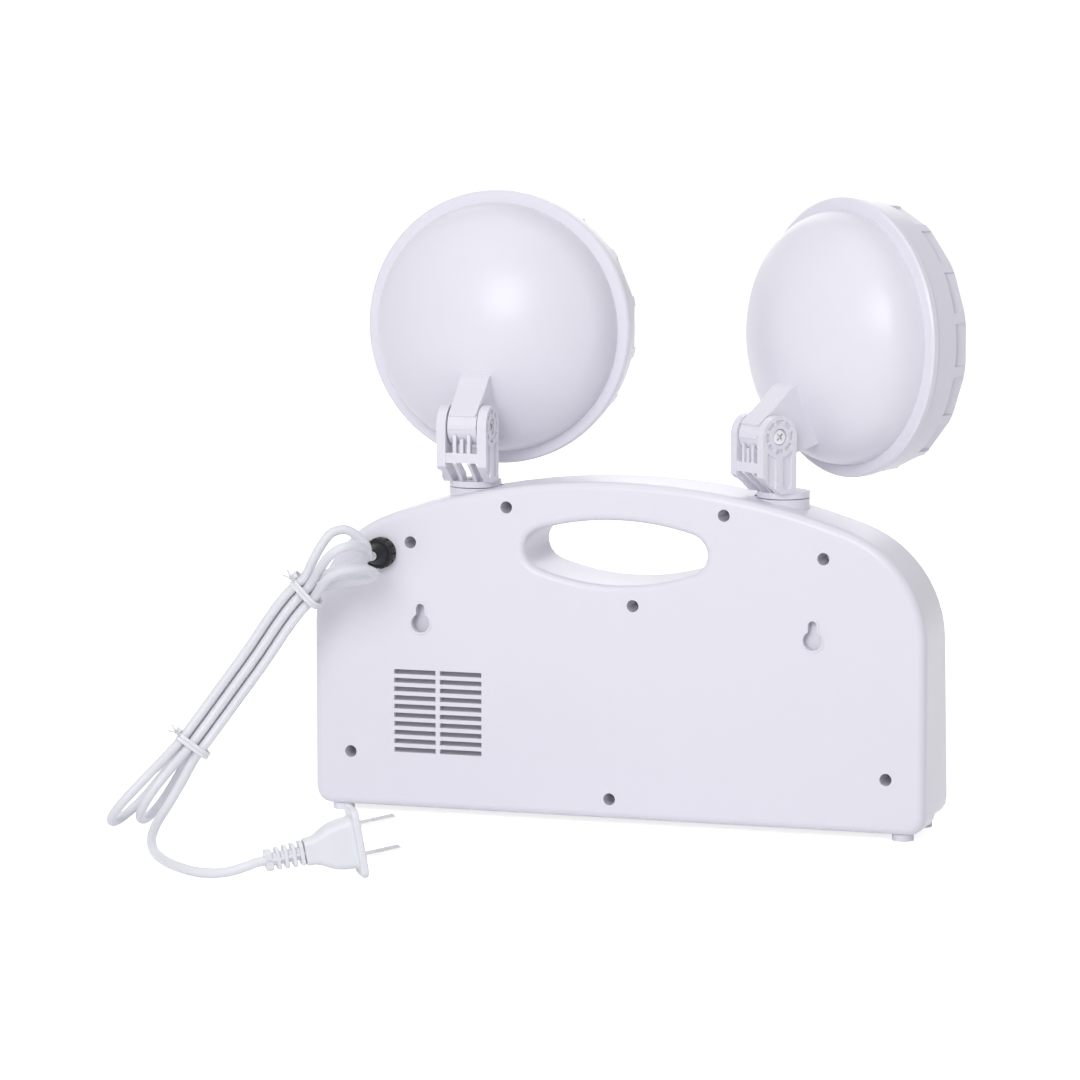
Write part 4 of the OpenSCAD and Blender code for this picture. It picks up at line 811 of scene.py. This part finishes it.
tie_plastic, tree, shader = new_finish("tie_strip", (0.80, 0.81, 0.84), 0.28)
let_light_in(shader, 0.25, 0.001)
vary_roughness(tree, shader, 0.2, 0.36, 500)
bump(tree, shader, noise(tree, 1500, 2, (1, 1, 0.25)), 0.00003)
finishes["tie_clear"] = tie_plastic
print("finishes so far:", sorted(finishes))

# %% [markdown]
# ## Grained plastics and rubber
#
# The gland is nylon with a faint pebble, the feet are pale soft rubber, the battery case is
# plain black polypropylene and the gaskets are foam rubber. They share one recipe with
# different grain, so the recipe is a function: name, colour, roughness, grains in a metre,
# and how deep the grain is. Roughness and colour drift over areas some grains wide. A duller
# piece can ask for less shine.

# %% Grained plastics
ROUGHNESS_COARSER, COLOUR_COARSER = 6, 12


def grained(name, colour, rough, grain, depth, drift=0.07, shine=0.5):
    """A plastic or rubber whose roughness, relief and colour follow one grain."""
    finish, tree, shader = new_finish(name, colour, rough, Specular_IOR_Level=shine)
    vary_roughness(tree, shader, rough - drift, rough + drift, grain / ROUGHNESS_COARSER)
    bump(tree, shader, noise(tree, grain, 4), depth)
    lighter = tuple(c * 1.25 + 0.003 for c in colour)
    tint(tree, shader, noise(tree, grain / COLOUR_COARSER, 4), colour, lighter)
    return finish


finishes |= {
    "gland_black": grained(
        "black_nylon", (0.009, 0.009, 0.011), 0.42, 1400, 0.00003, shine=0.3
    ),
    "foot_rubber": grained("foot_rubber", (0.72, 0.71, 0.77), 0.62, 900, 0.00005),
    "battery_black": grained("battery_case", (0.03, 0.03, 0.033), 0.5, 700, 0.00006),
    "gasket_black": grained("lamp_gasket", (0.02, 0.02, 0.02), 0.7, 1100, 0.00006),
    "foam": grained("grey_foam", (0.16, 0.16, 0.17), 0.85, 1900, 0.0002, drift=0.05),
    "capacitor_sleeve": grained("sleeve_film", (0.05, 0.045, 0.10), 0.3, 300, 0.00002),
    "relay_blue": grained("relay_case", (0.03, 0.12, 0.42), 0.34, 800, 0.00002),
    "block_green": grained("terminal_green", (0.05, 0.30, 0.10), 0.4, 800, 0.00002),
    "button_red": grained("button_red", (0.56, 0.03, 0.025), 0.3, 1200, 0.00001),
    "washer_fibre": grained("fibre_washer", (0.20, 0.10, 0.06), 0.66, 1600, 0.00005),
    "wire_plastic": grained("wire_sleeve", (0.30, 0.03, 0.03), 0.36, 600, 0.00002),
}
print("finishes so far:", len(finishes))

# %% [markdown]
# ## Metals
#
# Screws, the nut, the battery tabs and the plug's blades are plated steel or brass. A blade
# is stamped and tumbled, so fine scratches run along it; a screw is turned, so they run
# round it. Noise squeezed hard along one axis gives both, and a second, larger noise lets
# the plating cloud over in places. The transformer core is bare steel sheet in layers.

# %% Plated and bare metal
SCRATCHES, CLOUDS, HANDLING = 1800, 180, 320


def metal_finish(name, colour, rough, stretch, depth):
    """A metal whose scratches run along the axis with the smallest stretch."""
    finish, tree, shader = new_finish(name, colour, rough, metal=1.0)
    vary_roughness(tree, shader, rough - 0.08, rough + 0.12, HANDLING)
    bump(tree, shader, noise(tree, SCRATCHES, stretch=stretch), depth)
    duller = tuple(c * 0.92 for c in colour)
    tint(tree, shader, noise(tree, CLOUDS, 4), duller, colour)
    return finish


finishes |= {
    "screw_steel": metal_finish(
        "screw_plating", (0.68, 0.68, 0.71), 0.22, (1, 0.12, 1), 0.000003
    ),
    "blade_steel": metal_finish(
        "blade_plating", (0.74, 0.73, 0.72), 0.26, (0.12, 0.2, 1.6), 0.000001
    ),
    "core_steel": metal_finish("core_sheets", (0.30, 0.29, 0.28), 0.45, (0.1, 6, 0.1), 0.00005),
}
print("finishes so far:", len(finishes))

# %% [markdown]
# ## Windings and filter cloth
#
# The coil of the transformer is copper wire, turn beside turn, which a wave texture shows.
# The cloth behind the vents is a grey woven mesh. Two waves at right angles, multiplied,
# leave knots where threads cross and holes between them, and the same pattern paints shade
# into the holes: a darker grey where the shaded inside would show through them.

# %% Windings and weave
def waves(tree, direction, scale, distortion):
    """Even ridges across one direction, a little unsteady."""
    ridges = on_piece(tree, tree.nodes.new("ShaderNodeTexWave"))
    ridges.bands_direction = direction
    ridges.inputs["Scale"].default_value = scale
    ridges.inputs["Distortion"].default_value = distortion
    return ridges.outputs["Fac"]


winding, tree, shader = new_finish("copper_winding", (0.62, 0.25, 0.10), 0.3, metal=0.85)
bump(tree, shader, waves(tree, "X", 700, 0.6), 0.00012)
tint(tree, shader, noise(tree, 700), (0.50, 0.18, 0.07), (0.68, 0.29, 0.12))
vary_roughness(tree, shader, 0.24, 0.4, 400)
finishes["winding"] = winding

filter_cloth, tree, shader = new_finish("filter_cloth", (0.36, 0.35, 0.39), 0.85)
weave_and_hole_shade = tree.nodes.new("ShaderNodeMath")
weave_and_hole_shade.operation = "MULTIPLY"
for socket, direction in enumerate(("X", "Z")):
    tree.links.new(waves(tree, direction, 900, 0.4), weave_and_hole_shade.inputs[socket])
bump(tree, shader, weave_and_hole_shade.outputs["Value"], 0.00015)
# Painted shade: the holes between the threads get the darker grey and the knots the lighter
# one.
tint(tree, shader, weave_and_hole_shade.outputs["Value"], (0.33, 0.32, 0.36), (0.42, 0.41, 0.45))
print("filter cloth:", len(tree.nodes), "nodes")

# %% [markdown]
# ## Circuit boards
#
# A board is green lacquer over glass cloth with copper tracks under it. The tracks show as
# slightly raised, lighter paths. A brick pattern with long bricks gives a believable layout
# of tracks without drawing any, and a fine weave under it stands for the cloth. The pattern
# lies flat by itself, so it is turned by a quarter to stand up with the board.

# %% Boards
TRACKS_IN_A_METRE = 110


def board_finish(name, lacquer, track):
    """Lacquer in one colour with tracks in another."""
    finish, tree, shader = new_finish(name, lacquer, 0.35)
    turn = on_piece(tree, tree.nodes.new("ShaderNodeMapping"))
    turn.inputs["Rotation"].default_value = (math.radians(90), 0, 0)
    tracks = tree.nodes.new("ShaderNodeTexBrick")
    tracks.inputs["Scale"].default_value = TRACKS_IN_A_METRE
    tracks.inputs["Mortar Size"].default_value = 0.035
    tracks.inputs["Brick Width"].default_value = 1.7
    tracks.inputs["Row Height"].default_value = 0.33
    tracks.inputs["Color1"].default_value = (*lacquer, 1)
    tracks.inputs["Color2"].default_value = (*[c * 1.18 for c in lacquer], 1)
    tracks.inputs["Mortar"].default_value = (*track, 1)
    tree.links.new(turn.outputs["Vector"], tracks.inputs["Vector"])
    tree.links.new(tracks.outputs["Color"], shader.inputs["Base Color"])
    bump(tree, shader, tracks.outputs["Fac"], 0.00004)
    bump(tree, shader, noise(tree, 2400, 1), 0.00001)
    vary_roughness(tree, shader, 0.28, 0.42, 150)
    return finish


finishes["board_green"] = board_finish("board_lacquer", (0.015, 0.16, 0.06), (0.06, 0.30, 0.10))
finishes["led_board_white"] = board_finish("lamp_board", (0.72, 0.72, 0.72), (0.60, 0.60, 0.62))
print("finishes so far:", len(finishes))

# %% [markdown]
# ## What the lamps show in front
#
# Behind a clear cover sits a bowl of metallised plastic, pressed in small facets so that
# the light doesn't come out in rings. A texture of cells gives the facets. The cover is
# clear acrylic, and a shallow bump makes it as wavy as a thin moulding is, without adding a
# single vertex.

# %% Cover and bowl
clear, tree, shader = new_finish(
    "clear_cover", (0.96, 0.97, 0.98), 0.04, Transmission_Weight=0.94, IOR=1.46
)
vary_roughness(tree, shader, 0.02, 0.09, 120)
bump(tree, shader, noise(tree, 130, 2), 0.00004)
finishes["lens_clear"] = clear

mirror, tree, shader = new_finish("metallised_bowl", (0.86, 0.87, 0.88), 0.12, metal=1.0)
cells = on_piece(tree, tree.nodes.new("ShaderNodeTexVoronoi"))
cells.inputs["Scale"].default_value = 240
cells.inputs["Randomness"].default_value = 0.35
bump(tree, shader, cells.outputs["Distance"], 0.0006)
vary_roughness(tree, shader, 0.08, 0.18, 200)
finishes["reflector_silver"] = mirror
print("facets in a metre:", cells.inputs["Scale"].default_value)

# %% [markdown]
# In the middle of the bowl sit a few yellow LED chips under a clear coat, and the housing's
# front has three small green signal lamps. These could glow, but the unit is unplugged and
# its lamps are off, so they only let light through or throw it back.

# %% Chips and signal lamps
phosphor, tree, shader = new_finish(
    "led_phosphor", (0.86, 0.66, 0.10), 0.4, Coat_Weight=0.6, Coat_Roughness=0.08
)
bump(tree, shader, noise(tree, 1600, 2), 0.00004)
tint(tree, shader, noise(tree, 900), (0.80, 0.56, 0.07), (0.88, 0.70, 0.14))
finishes["led_yellow"] = phosphor

signal, tree, shader = new_finish(
    "signal_lens", (0.16, 0.62, 0.22), 0.14, Transmission_Weight=0.45, Coat_Weight=0.5
)
vary_roughness(tree, shader, 0.1, 0.2, 300)
bump(tree, shader, noise(tree, 700, 2), 0.00002)
finishes["indicator_green"] = signal
print("finishes:", sorted(finishes))

# %% [markdown]
# ## Dressing the CAD parts
#
# Each CAD part already names the material it is made of, so giving it its finish is a
# lookup. Its mesh isn't touched. The pieces made here get theirs by name.

# %% Give every part its finish
for part in nodes.values():
    for slot in part.material_slots:
        slot.material = finishes[slot.material.name.split(".")[0]]
dressing = [(piece, finishes["shell_white"]) for piece in (keyhole_cups, *arm_feet)]
dressing += [(piece, finishes["cord_white"]) for piece in (mains_cord, plug)]
dressing += [(tie, finishes["tie_clear"]) for tie in ties]
dressing += [(vent_filter, filter_cloth), (gland, finishes["gland_black"])]
for piece, finish in dressing:
    piece.data.materials.append(finish)
print("dressed:", len(nodes), "parts and", len(dressing), "pieces")

# %% [markdown]
# ## Soft edges
#
# A moulded edge is never sharp: it has a radius of some tenths of a millimetre, and that
# thin bright line is what makes plastic look real. The CAD mesh could be shaded flat, but
# then every round form would show its facets. So a small node group shades everything
# smooth except real edges, which are those that turn by more than a set angle.

# %% Smooth shading by angle
SMOOTH_UP_TO = math.radians(30)


def shading_group():
    """Geometry nodes that shade smooth every edge that turns gently."""
    group = bpy.data.node_groups.new("smooth_except_edges", "GeometryNodeTree")
    for way in ("INPUT", "OUTPUT"):
        group.interface.new_socket("Geometry", in_out=way, socket_type="NodeSocketGeometry")
    start = group.nodes.new("NodeGroupInput")
    end = group.nodes.new("NodeGroupOutput")
    strip = group.nodes.new("GeometryNodeRemoveAttribute")
    strip.inputs["Name"].default_value = "custom_normal"
    angle = group.nodes.new("GeometryNodeInputMeshEdgeAngle")
    gentle = group.nodes.new("FunctionNodeCompare")
    gentle.data_type = "FLOAT"
    gentle.operation = "LESS_EQUAL"
    gentle.inputs["B"].default_value = SMOOTH_UP_TO
    edges = group.nodes.new("GeometryNodeSetShadeSmooth")
    edges.domain = "EDGE"
    faces = group.nodes.new("GeometryNodeSetShadeSmooth")
    faces.domain = "FACE"
    link = group.links.new
    link(start.outputs[0], strip.inputs["Geometry"])
    link(strip.outputs["Geometry"], edges.inputs["Geometry"])
    link(angle.outputs["Unsigned Angle"], gentle.inputs["A"])
    link(gentle.outputs["Result"], edges.inputs["Shade Smooth"])
    link(edges.outputs["Geometry"], faces.inputs["Geometry"])
    link(faces.outputs["Geometry"], end.inputs[0])
    return group


smooth_group = shading_group()
print("shading group:", len(smooth_group.nodes), "nodes")

# %% [markdown]
# A Bevel modifier rounds the sharp edges by a radius that each part has for itself. The CAD
# mesh has split corners, so a Weld comes first, and the shading group follows. Last, a
# Weighted Normal modifier keeps the large flat faces flat right up to their rounded edges.

# %% Round the edges
BEVEL_FROM = math.radians(40)
SAME_POINT = 0.000002
edge_radius = {
    "rear_shell": 0.00035,
    "front_shell": 0.00035,
    "test_button": 0.0003,
    "plug_blades": 0.0003,
    "rubber_feet": 0.0003,
    "gland_nut": 0.0002,
    "battery_case": 0.0005,
    "relay": 0.0002,
    "terminal_block": 0.0002,
}
for side in tilt_screws:
    edge_radius[f"{side}_turret"] = 0.0002
    edge_radius[f"{side}_lamp_shell"] = 0.0003
    edge_radius[f"{side}_lamp_bezel"] = 0.0003
    edge_radius[f"{side}_tilt_screw"] = 0.00012


def soften(piece, radius):
    """Weld, round edges where there is a radius, and shade smooth up to real edges."""
    weld = piece.modifiers.new("weld", "WELD")
    weld.merge_threshold = SAME_POINT
    if radius:
        edge = piece.modifiers.new("soft_edges", "BEVEL")
        edge.width = radius
        edge.segments = 2
        edge.limit_method = "ANGLE"
        edge.angle_limit = BEVEL_FROM
        edge.use_clamp_overlap = True
        edge.miter_outer = "MITER_ARC"
    shade = piece.modifiers.new("smooth_except_edges", "NODES")
    shade.node_group = smooth_group
    flat = piece.modifiers.new("flat_faces_stay_flat", "WEIGHTED_NORMAL")
    flat.keep_sharp = True


for name, part in nodes.items():
    soften(part, edge_radius.get(name, 0))
for piece in (plug, gland, keyhole_cups, vent_filter, *arm_feet, *ties):
    soften(piece, 0)
print("parts with soft edges:", len(edge_radius))

# %% [markdown]
# ## Floor
#
# The photograph is a packshot: white all round, with light from large soft sources that
# leaves hardly any shadow. A white picture behind the object would do for one view, but the
# floor is a real surface that takes the object's shadow, and it is so large that its far
# edge never shows.

# %% Floor
FLOOR_REACH = 60.0
floor_mesh = bpy.data.meshes.new("floor")
floor_mesh.from_pydata(
    [(x * FLOOR_REACH, y * FLOOR_REACH, 0) for x, y in ((-1, -1), (1, -1), (1, 1), (-1, 1))],
    [], [(0, 1, 2, 3)],
)
floor = in_scene("floor", floor_mesh)
print("floor:", 2 * FLOOR_REACH, "m wide")

# %% [markdown]
# To the camera the floor also glows a little, so that it reaches white without more light
# on the object. The same goes for what is mirrored in metal or seen through glass, so one
# helper tells these rays from those that only carry light.

# %% White paper
FLOOR_GLOW = 0.72


def seen_directly(tree):
    """1 for what the camera sees directly, mirrored or through glass, and else 0."""
    rays = tree.nodes.new("ShaderNodeLightPath")
    value = rays.outputs["Is Camera Ray"]
    for other in ("Is Glossy Ray", "Is Transmission Ray"):
        larger = tree.nodes.new("ShaderNodeMath")
        larger.operation = "MAXIMUM"
        tree.links.new(value, larger.inputs[0])
        tree.links.new(rays.outputs[other], larger.inputs[1])
        value = larger.outputs["Value"]
    return value


paper, tree, shader = new_finish("white_paper", (0.88, 0.88, 0.89), 0.9, Specular_IOR_Level=0.1)
bump(tree, shader, noise(tree, 300), 0.00004)
glow = tree.nodes.new("ShaderNodeEmission")
glow.inputs["Color"].default_value = (1, 1, 1, 1)
level = tree.nodes.new("ShaderNodeMath")
level.operation = "MULTIPLY"
level.inputs[1].default_value = FLOOR_GLOW
both = tree.nodes.new("ShaderNodeAddShader")
tree.links.new(seen_directly(tree), level.inputs[0])
tree.links.new(level.outputs["Value"], glow.inputs["Strength"])
tree.links.new(shader.outputs["BSDF"], both.inputs[0])
tree.links.new(glow.outputs["Emission"], both.inputs[1])
tree.links.new(both.outputs["Shader"], tree.nodes["Material Output"].inputs["Surface"])
floor_mesh.materials.append(paper)
print("paper glows at", FLOOR_GLOW)

# %% [markdown]
# ## World
#
# The world does the same as the floor: it lights evenly at a modest level, and only what is
# seen directly, mirrored or through glass is pure white.

# %% World
EVEN_LIGHT = 0.47
world = bpy.data.worlds.new("studio")
bpy.context.scene.world = world
world.use_nodes = True
tree = world.node_tree
backdrop = tree.nodes["Background"]
backdrop.inputs["Color"].default_value = (0.97, 0.97, 1.0, 1)
backdrop.inputs["Strength"].default_value = EVEN_LIGHT
white = tree.nodes.new("ShaderNodeBackground")
white.inputs["Color"].default_value = (1, 1, 1, 1)
white.inputs["Strength"].default_value = 1.0
choice = tree.nodes.new("ShaderNodeMixShader")
tree.links.new(seen_directly(tree), choice.inputs["Fac"])
tree.links.new(backdrop.outputs["Background"], choice.inputs[1])
tree.links.new(white.outputs["Background"], choice.inputs[2])
tree.links.new(choice.outputs["Shader"], tree.nodes["World Output"].inputs["Surface"])
print("even light from all round:", EVEN_LIGHT)

# %% [markdown]
# ## Soft boxes
#
# Three large soft boxes shape the forms. The key stands to the left of the camera and above
# it: it gives each dome its broad highlight and leaves the faces that look to the right
# darker. A weaker one hangs overhead and lifts the arched top, and one stands before the
# unit's front, so that views from there are as bright. Their light falls off with distance,
# so their power is given for where they stand. Each is given as place, target, the side of
# its square, and watts.

# %% Soft boxes
def soft_box(name, place, target, side, power):
    """A square lamp that the camera doesn't see."""
    data = bpy.data.lights.new(name, "AREA")
    data.shape = "RECTANGLE"
    data.size = data.size_y = side
    data.energy = power
    lamp = in_scene(name, data)
    aim(lamp, Vector(place), Vector(target))
    lamp.visible_camera = False


soft_box("key", (0.0, 1.4, 0.72), (0, 0, 0.15), 0.75, 9.6)
soft_box("top", (0.25, 0.45, 1.5), (0, 0, 0.1), 1.3, 3.6)
soft_box("front", (0.4, -1.4, 0.9), (0, 0, 0.12), 1.2, 4.5)
